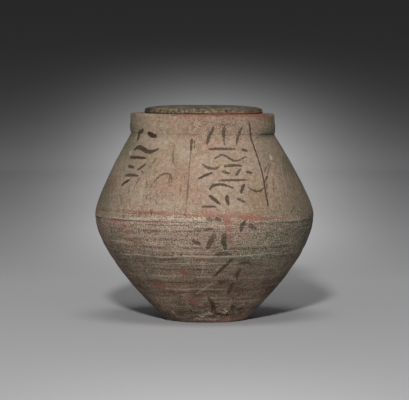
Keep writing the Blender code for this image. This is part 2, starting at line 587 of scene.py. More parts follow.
@dataclass(frozen=True)
class Painting:
    """Everything brushed on the jar: rows of dark marks, thin ruled lines and red bands.

    A rule is a long thin line, with its points from the top down and without the brush's swell.
    """

    rows: tuple[MarkRow, ...] = each(
        MarkRow,
        ((Mark.BAR,), 14, 50, 270, 3, 2.6, 0.46),
        ((Mark.LEAN, Mark.POST, Mark.LEAN), 0, 58, 255, 24, 4.2, 0.70),
        ((Mark.BAR,), 6, 48, 238, 4, 4.0, 0.76),
        ((Mark.DAB,), 50, 62, 236, 6, 4.0, 0.70),
        ((Mark.SWEEP,), 12, 64, 226, 9, 3.6, 0.74),
        ((Mark.CUP, Mark.BAR), -4, 54, 216, 7, 4.0, 0.70),
        ((Mark.DAB, Mark.LEAN, Mark.DAB), 22, 70, 207, 8, 4.3, 0.72),
        ((Mark.SLANT,), -9, 14, 203, 8, 3.3, 0.80),
        ((Mark.BAR,), 16, 62, 197, 4, 3.5, 0.74),
        ((Mark.BOW,), 4, 42, 188, 7, 4.2, 0.76),
        ((Mark.LEAN,), 46, 57, 186, 11, 5.2, 0.84),
        ((Mark.CUP,), 58, 82, 186, 7, 2.8, 0.70),
        ((Mark.FALL, Mark.POST, Mark.DAB), 6, 58, 171, 12, 4.9, 0.80),
        ((Mark.BAR,), -4, 18, 163, 4, 3.0, 0.80),
        ((Mark.DAB, Mark.DAB), 2, 24, 146, 8, 4.8, 0.84),
        ((Mark.DAB, Mark.BAR), -16, 14, 133, 5, 4.4, 0.86),
        ((Mark.LEAN, Mark.DAB), 44, 70, 136, 13, 5.4, 0.88),
        ((Mark.DAB, Mark.LEAN, Mark.POST), -20, 36, 116, 20, 6.8, 0.96),
        ((Mark.BAR,), 12, 38, 99, 4, 5.8, 0.96),
        ((Mark.SLANT,), 6, 40, 79, 27, 5.4, 0.98),
        ((Mark.BAR,), 44, 62, 86, 5, 5.0, 0.92),
        ((Mark.LEAN,), 38, 50, 71, 15, 5.4, 0.92),
        ((Mark.DAB,), 14, 30, 60, 5, 4.6, 0.84),
        ((Mark.LEAN,), 26, 40, 50, 16, 6.2, 0.80),
        ((Mark.FALL,), 3, 14, 27, 21, 6.4, 0.82),
        ((Mark.LEAN, Mark.DAB), -93, -59, 254, 17, 6.8, 0.94),
        ((Mark.SWEEP,), -97, -57, 235, 7, 6.4, 0.92),
        ((Mark.BAR,), -100, -74, 224, 4, 4.6, 0.88),
        ((Mark.DAB, Mark.SLANT), -104, -76, 212, 9, 4.2, 0.88),
        ((Mark.BAR,), -107, -86, 201, 4, 4.2, 0.88),
        ((Mark.SLANT,), -113, -98, 191, 9, 4.8, 0.88),
        ((Mark.SLANT,), 80, 86, 197, 9, 2.8, 0.90),
    )
    single: tuple[Stroke, ...] = each(
        Stroke,
        (((-14.6, 251), (-15.6, 243), (-15.9, 234)), 3.6, 0.75),
        (((-10.6, 249), (-11.2, 242), (-11.4, 238)), 2.8, 0.45),
        (((-76, 179), (-66, 194), (-54, 204), (-45, 204), (-47, 193)), 2.5, 0.55),
        (((-109, 168), (-105, 157)), 2.4, 0.45),
        (((-14, 274), (-13, 268), (-14, 262)), 2.6, 0.35),
    )
    rules: tuple[Stroke, ...] = each(
        Stroke,
        (((-14.5, 250), (-18.4, 215), (-20.8, 184), (-25.4, 145)), 1.5, 0.55),
        (((62.4, 275), (63.5, 255), (70.9, 232.5), (78.3, 207.3), (82.8, 177), (86, 158)), 2.5, 0.86),
    )
    belt_line: tuple[Point, ...] = (
        (-146.0, 154.3), (-118.2, 156.0), (-86.6, 154.5), (-55.7, 154.9), (-12.1, 151.5),
        (34.0, 149.6), (67.2, 146.7), (91.4, 145.8), (126.0, 146.3), (146.0, 148.0),
    )
    belt_line_width: float = 2.7
    rim_band_width: float = 5.6
    smears: tuple[Stroke, ...] = each(
        Stroke,
        (((-4, 157), (22, 154), (50, 152), (74, 151)), 9.0, 0.44),
        (((4, 163), (20, 160), (40, 158)), 7.0, 0.25),
        (((29, 150), (32, 138), (31, 126), (34, 114)), 9.5, 0.72),
        (((-130, 143), (-118, 142), (-106, 141)), 5.0, 0.60),
        (((-88, 141.5), (-70, 141), (-44, 141.5)), 3.0, 0.60),
        (((-64, 153), (-52, 153), (-36, 152)), 6.5, 0.42),
        (((-27, 257), (-14, 256), (-4, 257)), 4.6, 0.50),
        (((-30, 77), (-26, 71)), 8.5, 0.80),
        (((-69, 57), (-61, 51), (-56, 53)), 11.0, 0.68),
        (((-20, 31), (-12, 28)), 9.0, 0.62),
        (((14, 60), (22, 50)), 10.0, 0.36),
        (((-40, 190), (-34, 178)), 9.0, 0.10),
        (((60, 140), (78, 141)), 7.0, 0.22),
    )


@dataclass(frozen=True)
class Canvas:
    """Where brush strokes meet the jar's grid, between its first and last row of the outside.

    A ruled line isn't followed past a distance of far millimetres.
    """

    grid: TurnedGrid
    first: int
    last: int
    far: float = 50.0

    def placed(self, path: Array) -> Array:
        """Turns (across, level) into (angle, length up the section): angle = asin(across / radius).

        Args:
            path: rows of (across, level), in metres.

        Returns:
            Rows of (angle, length).
        """
        outside = slice(self.first, self.last)
        level = self.grid.level[outside, 0]
        radius = np.interp(path[:, 1], level, self.grid.radius[outside, 0])
        length = np.interp(path[:, 1], level, self.grid.length[outside])
        return np.column_stack((np.arcsin(np.clip(path[:, 0] / radius, -0.995, 0.995)), length))

    def brushed(self, strokes: Sequence[Stroke], reach: float) -> tuple[Array, Array]:
        """How far each place is from the nearest stroke's edge, and that stroke's load.

        The distance to a stroke is the least distance to its path's straight parts, on the surface
        laid flat round the place, less the brush's half width there. The load is the mean of the
        strokes' loads, weighted by exp(-distance / 1 mm).

        Args:
            strokes: what is brushed.
            reach: the distance in metres past which nothing is worked out.

        Returns:
            The distances in millimetres, below 0 in a stroke, and the loads.
        """
        grid = self.grid
        nearest = np.full(grid.shape, reach)
        weighted, weights = np.zeros(grid.shape), np.full(grid.shape, 1e-9)
        margin = reach / grid.radius[self.first : self.last].min()
        for stroke in strokes:
            path = self.placed(stroke.path())
            half = stroke.half_widths(len(path))
            low, high = path.min(axis=0), path.max(axis=0)
            near = (grid.angle > low[0] - margin) & (grid.angle < high[0] + margin)
            level = (grid.length > low[1] - reach) & (grid.length < high[1] + reach)
            window = np.ix_(level, near)
            across = (path[:, 0] - grid.angle[near][:, None]) * grid.radius[level][:, :, None]
            up = path[:, 1] - grid.length[level][:, None, None] + np.zeros_like(across)
            run_across, run_up = np.diff(across, axis=2), np.diff(up, axis=2)
            across, up = across[..., :-1], up[..., :-1]
            share = -(across * run_across + up * run_up) / (run_across**2 + run_up**2 + 1e-12)
            share = np.clip(share, 0.0, 1.0)
            gap = np.hypot(across + share * run_across, up + share * run_up)
            edge = (gap - blend(half[:-1], half[1:], share)).min(axis=2)
            weight = np.exp(-np.maximum(edge, 0.0) / MM)
            nearest[window] = np.minimum(nearest[window], edge)
            weighted[window] += weight * stroke.load
            weights[window] += weight
        return nearest / MM, weighted / weights

    def ruled(self, rules: Sequence[Stroke]) -> tuple[Array, Array, Array]:
        """Signed distance to the nearest of a few upright lines, its half width and its load.

        Each line's angle is interpolated by the length up the section. The sign changes across a
        line and is turned for every second one, so that the value runs on smoothly from one line to
        the next.

        Args:
            rules: the lines.

        Returns:
            The signed distances and half widths in millimetres, and a load that fades past a line's
            ends.
        """
        grid = self.grid
        signed = np.full(grid.shape, self.far * MM)
        half, load = np.ones(grid.shape), np.zeros(grid.shape)
        for index, rule in enumerate(rules):
            placed = self.placed(np.array(rule.points)[::-1] * MM)
            angle = np.interp(grid.length, placed[:, 1], placed[:, 0])[:, None]
            off = (-1) ** index * (grid.angle - angle) * grid.radius
            start, end = placed[[0, -1], 1]
            there = step(grid.length, start - 2 * MM, start + 8 * MM)
            there = there * step(grid.length, end + 1 * MM, end - 3 * MM)
            closer = np.abs(off) < np.abs(signed)
            signed = np.where(closer, off, signed)
            half = np.where(closer, rule.width / 2, half)
            load = np.where(closer, rule.load * there[:, None], load)
        return signed / MM, half, load


@dataclass(frozen=True)
class TurningLine:
    """A ridge or groove that the potter's turning left. A groove's rise is below 0."""

    level: float
    rise: float
    width: float
    left: float
    right: float
    tilt: float = 0.0
    waver: float = 1.0

    @property
    def plainness(self) -> float:
        """How plainly the line shows, from 0 to 1. It grows with how far the line stands out."""
        return min(1.0, 0.13 + 1.25 * abs(self.rise))


@dataclass(frozen=True)
class Oval:
    """An oval on the front. Its strength is a flake's depth, or the strength of a stain or tint."""

    across: float
    level: float
    half_width: float
    half_height: float
    strength: float


class Side(Enum):
    """Which part of the way round the jar wear keeps to."""

    ROUND = "all round"
    FRONT = "the front"
    BACK = "the back"


@dataclass(frozen=True)
class Spread:
    """A stretch of wear between two levels with soft ends.

    It may grow from 0 at one place across to 1 at another, keep to one side, and be turned into
    patches, above and below 0, by noise with a seed and a size in metres.
    """

    strength: float
    low: float = -100.0
    high: float = 400.0
    soft: float = 1.0
    across: Point | None = None
    side: Side = Side.ROUND
    noise: tuple[int, float] | None = None


@dataclass(frozen=True)
class Coat:
    """A coat of wear: an even share, stretches, and ovals times a gain, cut off at 0 and a limit."""

    spreads: tuple[Spread, ...] = ()
    ovals: tuple[Oval, ...] = ()
    even: float = 0.0
    gain: float = 1.0
    limit: float = 1.0


@dataclass(frozen=True)
class Wear:
    """The coats that the jar's finish reads, each under the name that it has here.

    Slip is the cream slip, thick down to the belt and worn below it. Soil and shade is dirt on the
    lower cone and painted shade towards both sides. The darkening film is a thin grey film over the
    colour, heavier below the belt and at the collar, and painted shade on the right side. Blush,
    ochre, olive and rust are tints; olive also lies towards both sides and along the crease at the
    right as painted shade.
    Gritty says how strongly single grains of sand and lime stand out, and streaked how plainly the
    turning shows.
    """

    slip: Coat = Coat((
        Spread(0.88, 151, 300, 3),
        Spread(0.70, 108, 151, 10),
        Spread(0.46, 66, 108, 12),
        Spread(0.24, -10, 66, 12),
        Spread(0.16, noise=(21, 0.03)),
    ))
    # Dirt on the lower cone; the stretches towards both sides are painted shade where the jar turns
    # away from the lamps.
    soil_and_shade: Coat = Coat(
        (
            Spread(0.22, high=129, soft=11),
            Spread(0.58, high=91, soft=25),
            Spread(0.44, 158, 300, 10, (-72, -134), Side.FRONT),
            Spread(0.44, 158, 300, 10, (76, 138), Side.FRONT),
            Spread(0.20, 152, 250, 8, (46, 90), Side.FRONT),
            Spread(0.50, -10, 146, 8, (-62, -130), Side.FRONT),
            Spread(0.50, -10, 146, 8, (62, 130), Side.FRONT),
            Spread(0.42, 96, 150, 5, (40, 80), Side.FRONT, (30, 0.011)),
            Spread(0.18, noise=(22, 0.05)),
            Spread(0.25, side=Side.BACK),
        ),
        each(
            Oval,
            (-128, 184, 14, 18, 0.35), (-104, 232, 12, 16, 0.25), (-97, 268, 4, 12, 0.34),
            (-88, 266, 2.5, 12, 0.25), (92, 262, 6, 14, 0.35), (62, 82, 26, 26, 0.26),
            (-40, 74, 60, 5, 0.24), (-86, 118, 18, 18, 0.16), (72, 30, 26, 30, 0.25),
            (118, 112, 34, 30, 0.34), (-128, 118, 14, 16, 0.20),
        ),
        even=0.08,
    )
    # A grey film multiplied over the colour: heavier below the belt and at the collar, lighter near
    # the underside, and painted shade on the right side.
    darkening_film: Coat = Coat(
        (
            Spread(0.48, high=134.5, soft=8.5),
            Spread(0.46, high=96, soft=12),
            Spread(-0.90, high=41, soft=21),
            Spread(-0.35, 24, 84, 8, (-6, -44)),
            Spread(0.42, 84, 140, 8, (40, 100), Side.FRONT),
            Spread(0.40, 137, 144.5, 1.5, (40, 100), Side.FRONT),
            Spread(0.34, 250, 300, 3),
            Spread(0.18, 160, 250, 12, (50, 90)),
            Spread(0.102, 250, 300, 3, noise=(29, 0.045)),
            Spread(0.054, 160, 250, 12, (50, 90), noise=(29, 0.045)),
            Spread(0.30, -10, 140, 8, noise=(29, 0.045)),
        ),
        limit=1.4,
    )
    # The stretches towards both sides and the thin oval along the crease at the right are painted
    # shade; the rest is olive tint.
    olive: Coat = Coat(
        (
            Spread(0.50, 150, 250, 8, (-85, -135), Side.FRONT),
            Spread(0.50, 150, 250, 8, (85, 135), Side.FRONT),
            Spread(0.30, side=Side.BACK),
            Spread(0.22, noise=(23, 0.035)),
        ),
        each(
            Oval,
            (-95, 265, 12, 20, 0.70), (-98, 222, 24, 28, 0.62), (-138, 178, 18, 26, 0.52),
            (84, 262, 16, 16, 0.55), (84, 256, 18, 3, 0.60), (112, 215, 10, 34, 0.55),
            (84, 235, 14, 18, 0.30), (122, 122, 46, 32, 1.05), (70, 96, 44, 12, 0.50),
            (-100, 92, 34, 14, 0.25),
        ),
    )
    blush: Coat = Coat(
        (Spread(0.42, noise=(24, 0.026)),),
        each(
            Oval,
            (-50, 197, 22, 24, 0.55), (-28, 188, 14, 22, 0.50), (-12, 178, 12, 12, 0.40),
            (-2, 178, 12, 16, 0.30), (0, 272, 70, 12, 0.30), (-125, 190, 8, 6, 0.50),
            (-98, 128, 20, 16, 0.45), (-14, 128, 26, 18, 0.30), (60, 150, 60, 8, 0.30),
        ),
        even=0.06,
        gain=1.3,
    )
    ochre: Coat = Coat(
        (Spread(0.30, noise=(26, 0.032)),),
        each(
            Oval,
            (-72, 226, 18, 14, 0.45), (-108, 165, 12, 18, 0.35), (72, 172, 13, 26, 0.70),
            (112, 172, 30, 24, 0.45), (86, 274, 10, 10, 0.40), (-60, 262, 40, 10, 0.25),
        ),
        even=0.06,
        gain=1.2,
    )
    rust: Coat = Coat(
        (),
        each(
            Oval,
            (22, 3, 34, 3, 0.60), (84, 282, 9, 5, 0.60), (50, 50, 24, 30, 0.20),
            (-44, 56, 36, 18, 0.22), (-98, 128, 18, 12, 0.20), (6, 48, 44, 20, 0.18),
        ),
    )
    gritty: Coat = Coat(
        (
            Spread(0.66, 92, 156, 9),
            Spread(0.36, -10, 92, 9),
            Spread(0.36, 248, 300, 4, (-40, 10)),
            Spread(0.26, noise=(28, 0.025)),
        ),
        even=0.26,
    )
    streaked: Coat = Coat((Spread(0.54, -10, 143, 5), Spread(0.30, 86, 143, 5)), even=0.16)


@dataclass
class Jar:
    """The jar: its grid, its relief and the wear that its finish reads."""

    form: JarForm = field(default_factory=JarForm)
    painting: Painting = field(default_factory=Painting)
    wear: Wear = field(default_factory=Wear)
    columns: int = 352
    crowding: float = 0.42
    broad_relief: float = 0.45
    fine_relief: float = 0.10
    hole_size: float = 0.0085
    hole_share: float = 0.12
    crumb_relief: float = 1.9
    scratch_depth: float = 0.4
    lime_height: float = 0.24
    nick_depth: float = 0.9
    fill_thickness: float = 1.4
    fill_height: float = 0.0034
    crease_height: float = 0.0016
    outside_rows: int = 254
    under_rows: int = 4
    rim_rows: int = 6
    inside_rows: int = 16
    turning_lines: tuple[TurningLine, ...] = each(
        TurningLine,
        (152.6, -0.35, 1.1, -150, -60, 0.01),
        (147.2, 0.50, 0.9, -104, -2),
        (146.2, -0.25, 0.7, -120, -4),
        (144.7, 0.80, 0.9, -150, 0, 0.0, 0.6),
        (142.7, -0.80, 0.9, -150, 12, 0.0, 0.6),
        (140.2, 0.30, 0.9, -100, -30),
        (142.6, 0.30, 1.0, 62, 150),
        (139.4, -0.40, 1.2, 40, 150),
        (133.5, 0.30, 0.9, -125, 0),
        (130.0, -0.25, 1.0, -120, -10),
        (121.5, 0.22, 0.9, -60, 12),
        (110.7, 0.34, 0.9, -125, 2),
        (107.6, -0.34, 1.2, -110, 20),
        (95.8, 0.55, 1.0, -112, 14, 0.0, 1.8),
        (91.2, -0.40, 1.2, -92, 8),
        (86.0, 0.26, 0.9, -80, 44),
        (77.4, -0.50, 2.2, -92, 6),
        (68.0, 0.30, 1.1, -70, 20),
        (58.9, -0.50, 1.9, -76, 10),
        (50.0, 0.26, 1.0, -60, 30),
        (108.6, 0.26, 0.9, 24, 122, 0.03),
        (105.4, -0.58, 1.0, 18, 120, 0.01),
        (100.2, -0.50, 1.0, 24, 104, 0.01),
        (94.6, 0.40, 1.0, 20, 118, 0.06),
        (89.0, -0.28, 1.2, 34, 110, 0.05),
        (71.0, -0.34, 1.8, 30, 90, 0.04),
        (44.0, -0.40, 1.7, -60, 64, 0.02),
        (36.0, 0.26, 1.1, -56, 60, 0.01),
    )
    fine_turning: Coat = Coat(
        (Spread(0.24, -10, 137, 4), Spread(0.10, 137, 152, 2), Spread(0.06, 252, 290, 4)), even=0.10
    )
    chips: tuple[Oval, ...] = each(
        Oval,
        (-94, 282, 4, 3, 1.0), (-38, 283, 6, 2.4, 0.7), (22, 283, 9, 2, 0.5), (88, 282.5, 5, 3, 0.9),
        (95, 221, 1.6, 1.6, 0.5), (-146, 141, 6, 4, 0.9), (146, 141, 8, 4, 0.9), (-10, 8, 5, 4, 1.4),
        (-24, 14, 8, 3, 1.0), (9, 22, 3, 9, 1.6), (18, 12, 7, 3, 1.3), (26, 9, 6, 4, 1.5),
        (36, 20, 4, 7, 1.2), (48, 14, 7, 7, 1.2), (-36, 12, 7, 5, 0.9),
    )
    crumbled: Coat = Coat((Spread(0.25, -5, 14, 8),), (Oval(18, 14, 34, 13, 1.0),))
    lime: Coat = Coat(
        (
            Spread(0.16, 60, 140, 12),
            Spread(0.38, 64, 142, 8, (40, 92), Side.FRONT),
            Spread(0.30, 112, 146, 8, side=Side.BACK),
        ),
        each(
            Oval,
            (-34, 124, 44, 18, 0.80), (-90, 142, 60, 6, 0.55), (-24, 145, 30, 6, 0.70),
            (76, 118, 44, 18, 0.55), (110, 144, 26, 6, 0.65), (-10, 168, 20, 14, 0.35),
            (-6, 11, 8, 4, 1.00), (27, 12, 5, 4, 1.10), (-60, 66, 36, 5, 0.40), (-6, 72, 5, 12, 0.50),
        ),
        limit=3.0,
    )
    scored_count: int = 52
    scored_width: float = 0.9
    scored_levels: Point = (139, 12)
    scored_starts: Point = (-135, 80)
    scored_lengths: Point = (25, 110)
    scored_rises: Point = (0.08, 0.34)
    scored_tilts: Point = (-0.015, 0.025)
    hairline_count: int = 48
    hairline_sides: tuple[Point, Point] = ((84, 122), (-118, -4))
    hairline_levels: Point = (158, 236)
    hairline_runs: Point = (4, 19)
    hairline_lean: float = 0.30
    hairline_widths: Point = (1.3, 2.1)
    hairline_loads: Point = (0.30, 0.8)
    cracks: tuple[Stroke, ...] = each(
        Stroke,
        (((10, 34), (8.5, 24), (11, 13)), 2.6, 0.85),
        (((18, 20), (26, 17), (33, 18)), 2.2, 0.75),
        (((40, 26), (37, 18), (38, 10)), 2.4, 0.65),
        (((-22, 19), (-14, 16), (-6, 17)), 2.0, 0.65),
        (((-4, 10), (6, 8), (14, 10)), 2.2, 0.75),
        (((50, 20), (46, 12)), 2.2, 0.60),
        (((-112, 176), (-110, 160)), 2.0, 0.60),
        (((-100, 170), (-98, 158)), 1.6, 0.50),
    )
    scratches: tuple[Stroke, ...] = each(
        Stroke,
        (((-12.9, 42.9), (-2, 51), (11, 60)), 2.2, 0.55),
        (((-4, 90), (-3, 82), (-4, 72)), 4.0, 0.35),
        (((90.5, 229), (91.5, 223)), 3.4, 0.95),
        (((98, 131.8), (106, 131.4)), 3.2, 1.00),
        (((-99, 232), (-97, 228)), 5.0, 0.40),
        (((-40, 116), (-32, 114)), 3.0, 0.60),
        (((-70, 112), (-66, 116)), 2.4, 0.50),
        (((104, 216), (109, 190), (112, 168)), 2.2, 0.30),
        (((112, 206), (118, 182)), 2.0, 0.26),
        (((96, 200), (102, 176), (103, 160)), 2.0, 0.26),
        (((-108, 206), (-112, 182)), 2.0, 0.26),
        (((-120, 190), (-123, 168)), 2.0, 0.24),
        (((120, 116), (112, 96)), 2.2, 0.35),
        (((-11, 12), (-6, 8.5), (-1, 11)), 3.0, 0.90),
        (((23, 14.5), (27, 10.5)), 4.2, 0.95),
        (((24, 21), (29, 16)), 2.4, 0.75),
        (((-47, 17), (-42, 12)), 3.0, 0.60),
        (((3, 17), (6, 13)), 2.2, 0.60),
        (((-14, 5.5), (4, 4.5), (20, 5.5)), 1.8, 0.45),
    )

    def __post_init__(self) -> None:
        """Lays out the grid, close on the outside, and works out what its wear is placed by."""
        outside = resampled(self.form.outside(), self.outside_rows)
        under = resampled(np.array([(0.0, 0.0), outside[0]]), self.under_rows)
        inside = resampled(self.form.inside(), self.inside_rows)
        rim = resampled(np.array([outside[-1], inside[0]]), self.rim_rows)
        section = np.concatenate([under[:-1], outside, rim[1:-1], inside])
        self.grid = TurnedGrid(section, self.columns, self.crowding)
        self.first, self.last = self.under_rows, self.under_rows + len(outside)
        self.canvas = Canvas(self.grid, self.first, self.last)
        self.spots = self.grid.points()
        self.level = self.grid.level / MM
        self.across = self.grid.across
        self.front = step(np.cos(self.grid.angle), 0.0, 0.25)
        self.loose_across = self.across + 8 * self.patches(51, 0.035)
        self.loose_level = self.level + 6 * self.patches(52, 0.035)
        wide, narrow = Lattice(11).noise(self.spots, 0.03), Lattice(10).noise(self.spots, 0.009)
        self.wander = 0.9 * wide + 0.35 * narrow
        self.broken = step(Lattice(12).noise(self.spots, (0.022, 0.022, 0.004)), -0.75, -0.05)
        self.row = np.arange(len(section))[:, None]
        outer = step(self.row, self.first, self.first + 3)
        self.outer = outer * step(self.row, self.last + 3, self.last - 3)
        self.lines = self.drawn_lines()

    def patches(self, seed: int, size: float | tuple, octaves: int = 3) -> Array:
        """Seeded fractal noise over the jar, about -1 to 1."""
        return Lattice(seed).fractal(self.spots, size, octaves)

    def zone(self, low: float, high: float, soft: float) -> Array:
        """1 between two levels in millimetres, with soft ends, as a column."""
        return step(self.level, low - soft, low + soft) * step(self.level, high + soft, high - soft)

    def stained(self, ovals: Sequence[Oval]) -> Array:
        """The sum of soft ovals, each strength * exp(-(dx / half_width)^2 - (dz / half_height)^2).

        The places are moved about by noise first, so that the ovals' edges wander.

        Args:
            ovals: what to add up.

        Returns:
            One number for each place of the grid.
        """
        total = np.zeros(self.grid.shape)
        for oval in ovals:
            loose = min(1.0, oval.half_height / 12)
            across = blend(self.across, self.loose_across, loose) - oval.across
            level = blend(self.level, self.loose_level, loose) - oval.level
            off = np.hypot(across / oval.half_width, level / oval.half_height)
            total += oval.strength * bell(off, 1)
        return total * self.front

    def worn(self, coat: Coat) -> Array:
        """How thickly a coat of wear lies at each place.

        Args:
            coat: its even share, stretches and ovals.

        Returns:
            Their sum, from 0 to the coat's limit.
        """
        total = coat.even + coat.gain * self.stained(coat.ovals)
        sides = {Side.ROUND: 1.0, Side.FRONT: self.front, Side.BACK: 1 - self.front}
        for spread in coat.spreads:
            there = self.zone(spread.low, spread.high, spread.soft) * sides[spread.side]
            if spread.across:
                there = there * step(self.across, *spread.across)
            if spread.noise:
                there = there * self.patches(*spread.noise)
            total = total + spread.strength * there
        return np.clip(total, 0, coat.limit)

    def drawn_lines(self) -> list[TurningLine]:
        """Adds fine scored lines at drawn places on the lower body to the named turning lines.

        Returns:
            All the lines, with the named ones first.
        """
        chance = np.random.default_rng(31)
        made = list(self.turning_lines)
        for _ in range(self.scored_count):
            level = blend(*self.scored_levels, chance.uniform(0, 1) ** 1.5)
            left = chance.uniform(*self.scored_starts)
            rise = chance.uniform(*self.scored_rises) * chance.choice((-1, 1))
            rise = rise * (0.45 if level < 86 else 1.0)
            right = left + chance.uniform(*self.scored_lengths)
            tilt = chance.uniform(*self.scored_tilts)
            made.append(TurningLine(level, rise, self.scored_width, left, right, tilt))
        return made

    def line_off(self, line: TurningLine) -> Array:
        """How far above a turning line each place lies, in millimetres. The line wanders by noise."""
        course = line.level + line.waver * self.wander + line.tilt * (self.across - line.left)
        return self.level - course

    def line_there(self, line: TurningLine) -> Array:
        """Where a turning line runs: 0 past its ends and at the back, and broken up by noise."""
        ends = step(self.across, line.left - 8, line.left + 8)
        return self.broken * ends * step(self.across, line.right + 10, line.right - 10) * self.front

    def turned_marks(self) -> tuple[Array, Array, Array]:
        """The turning lines, each a bell curve across its level, and fine turning all round.

        Fine turning is noise stretched round the jar.

        Returns:
            The relief in metres; how much of it belongs to lines, from -1 to 1; and how high or low
            a place lies in all the turning, from -1 to 1.
        """
        named, relief = np.zeros(self.grid.shape), np.zeros(self.grid.shape)
        for line in self.lines:
            ridge = bell(self.line_off(line), line.width) * self.line_there(line)
            relief += ridge * line.rise * MM
            named += ridge * math.copysign(min(1.0, abs(line.rise) / 0.5), line.rise)
        strength = self.worn(self.fine_turning)
        patchy = 0.35 + 0.65 * step(Lattice(13).noise(self.spots, 0.045), -0.4, 0.5)
        fine = patchy * self.patches(14, (0.16, 0.16, 0.0075))
        crest = np.clip(named + strength / 0.34 * fine, -1, 1)
        return relief + strength * fine * MM, named, crest

    def nearest_line(self, sign: int) -> tuple[Array, Array]:
        """Signed distance to the nearest ridge or groove, and how plainly that line shows.

        The sign is turned for every second line, so that the value runs on smoothly from one line to
        the next. How plainly it shows fades out 3 mm away, so that nothing shows half way.

        Args:
            sign: 1 for ridges, -1 for grooves.

        Returns:
            The distances in millimetres, and the strengths from 0 to 1.
        """
        signed, load = np.zeros(self.grid.shape), np.zeros(self.grid.shape)
        best = np.full(self.grid.shape, np.inf)
        lines = [line for line in self.lines if line.rise * sign > 0]
        for index, line in enumerate(sorted(lines, key=lambda line: line.level)):
            off, there = self.line_off(line), self.line_there(line)
            cost = np.abs(off) + 8 * (1 - there)
            closer = cost < best
            best = np.where(closer, cost, best)
            signed = np.where(closer, (-1) ** index * off, signed)
            plain = line.plainness * step(np.abs(off), 4.0, 2.5)
            load = np.where(closer, plain * there, load)
        return signed, load

    def hairlines(self) -> list[Stroke]:
        """Adds thin dark scratches at drawn places on the shoulder's two sides to the named cracks.

        Returns:
            All of them, with the cracks first.
        """
        chance = np.random.default_rng(53)
        made = list(self.cracks)
        for index in range(self.hairline_count):
            across = chance.uniform(*self.hairline_sides[index % 2])
            level = chance.uniform(*self.hairline_levels)
            run, lean = chance.uniform(*self.hairline_runs), chance.normal(0.0, self.hairline_lean)
            middle = (across + lean * run / 2 + chance.uniform(-1.0, 1.0), level - run / 2)
            points = ((across, level), middle, (across + lean * run, level - run))
            width = chance.uniform(*self.hairline_widths)
            made.append(Stroke(points, width, chance.uniform(*self.hairline_loads)))
        return made

    def filled(self) -> Array:
        """How far slip is smeared into the crease under the collar, which stays open at both sides."""
        return step(self.across, -122, -100) * step(self.across, 84, 70) * self.front

    def collar_fill(self) -> Array:
        """The slip smeared into the crease under the collar, a bell curve across its level.

        Returns:
            Its thickness at each place, in metres.
        """
        filled = np.maximum(self.filled(), 0.6 * step(Lattice(15).noise(self.spots, 0.06), 0.1, 0.5))
        band = bell(self.grid.level - self.form.neck_level, self.fill_height)
        return filled * band * self.fill_thickness * MM

    def open_crease(self) -> Array:
        """Where the crease under the collar is open and holds shade and dirt.

        Returns:
            How open it is at each place, from 0 to 1.
        """
        off = self.grid.level - self.form.neck_level - self.crease_height / 2
        crease = bell(off, self.crease_height)
        return (1 - self.filled()) * crease * (1 - 0.45 * step(self.across, -50, -90))

    def flakes(self) -> Array:
        """The chips, each a soft step from its oval's noisy edge to its floor, and nicks at the edges.

        Returns:
            Their depth at each place, in metres.
        """
        uneven = 0.35 * self.patches(16, 0.004, 2)
        depth = np.zeros(self.grid.shape)
        for chip in self.chips:
            off = ((self.across - chip.across) / chip.half_width) ** 2
            off = off + ((self.level - chip.level) / chip.half_height) ** 2
            depth = np.maximum(depth, chip.strength * step(off + uneven, 1.15, 0.35) * self.front)
        edges = self.zone(281.5, 290, 1.5) + self.zone(-5, 5, 2)
        nicks = Lattice(17).pits(self.spots, 0.014, 0.16) * edges
        return np.maximum(depth, self.nick_depth * nicks) * MM

    def crust(self, named: Array) -> Array:
        """Cream lime grains along the belt's lower edge, over the body below it, and on ridges, where
        they are also painted highlight.

        Args:
            named: how much of each place belongs to a named ridge (above 0) or groove.

        Returns:
            How thickly the grains lie, from 0 to 1.
        """
        spread = self.worn(self.lime) * (1 + 0.30 * self.patches(25, 0.02))
        return np.clip(spread + 0.8 * np.clip(named, 0, 1), 0, 1)

    def red_paint(self) -> tuple[Array, Array]:
        """The red line at the belt, the red on the rim's edge, and red smears and drips.

        Both bands go all round: their distance is measured up the section from a level that follows
        the line's points by angle.

        Returns:
            The distance to the nearest red edge in millimetres, and its load.
        """
        grid, length = self.grid, self.grid.length[:, None]
        smear, smear_load = self.canvas.brushed(self.painting.smears, 10 * MM)
        line = self.canvas.placed(np.array(self.painting.belt_line) * MM)
        rise = np.interp(grid.angle, line[:, 0], line[:, 1], period=math.tau)
        along = step(grid.angle, -0.9, -0.2)
        uneven = self.patches(27, (0.03, 0.03, 0.2))
        half = self.painting.belt_line_width / 2 * (0.70 + 0.30 * along)
        belt = np.abs(length - rise) / MM - half * (1 + 0.5 * uneven)
        belt_load = 0.70 + 0.20 * along + 0.18 * uneven
        belt_load = belt_load - 0.30 * step(self.across, 108, 128) * self.front
        half = self.painting.rim_band_width / 2
        rim = np.abs(length - grid.length[self.last - 2]) / MM - half * (1 + 0.3 * uneven)
        ends = step(self.across, -62, -30) * step(self.across, 90, 76) * self.front
        rim_load = 0.10 + (0.52 + 0.55 * uneven) * ends
        edges, loads = np.stack([smear, belt, rim]), np.stack([smear_load, belt_load, rim_load])
        weights = np.exp(-np.maximum(edges, 0.0))
        return edges.min(axis=0), (weights * loads).sum(axis=0) / weights.sum(axis=0)

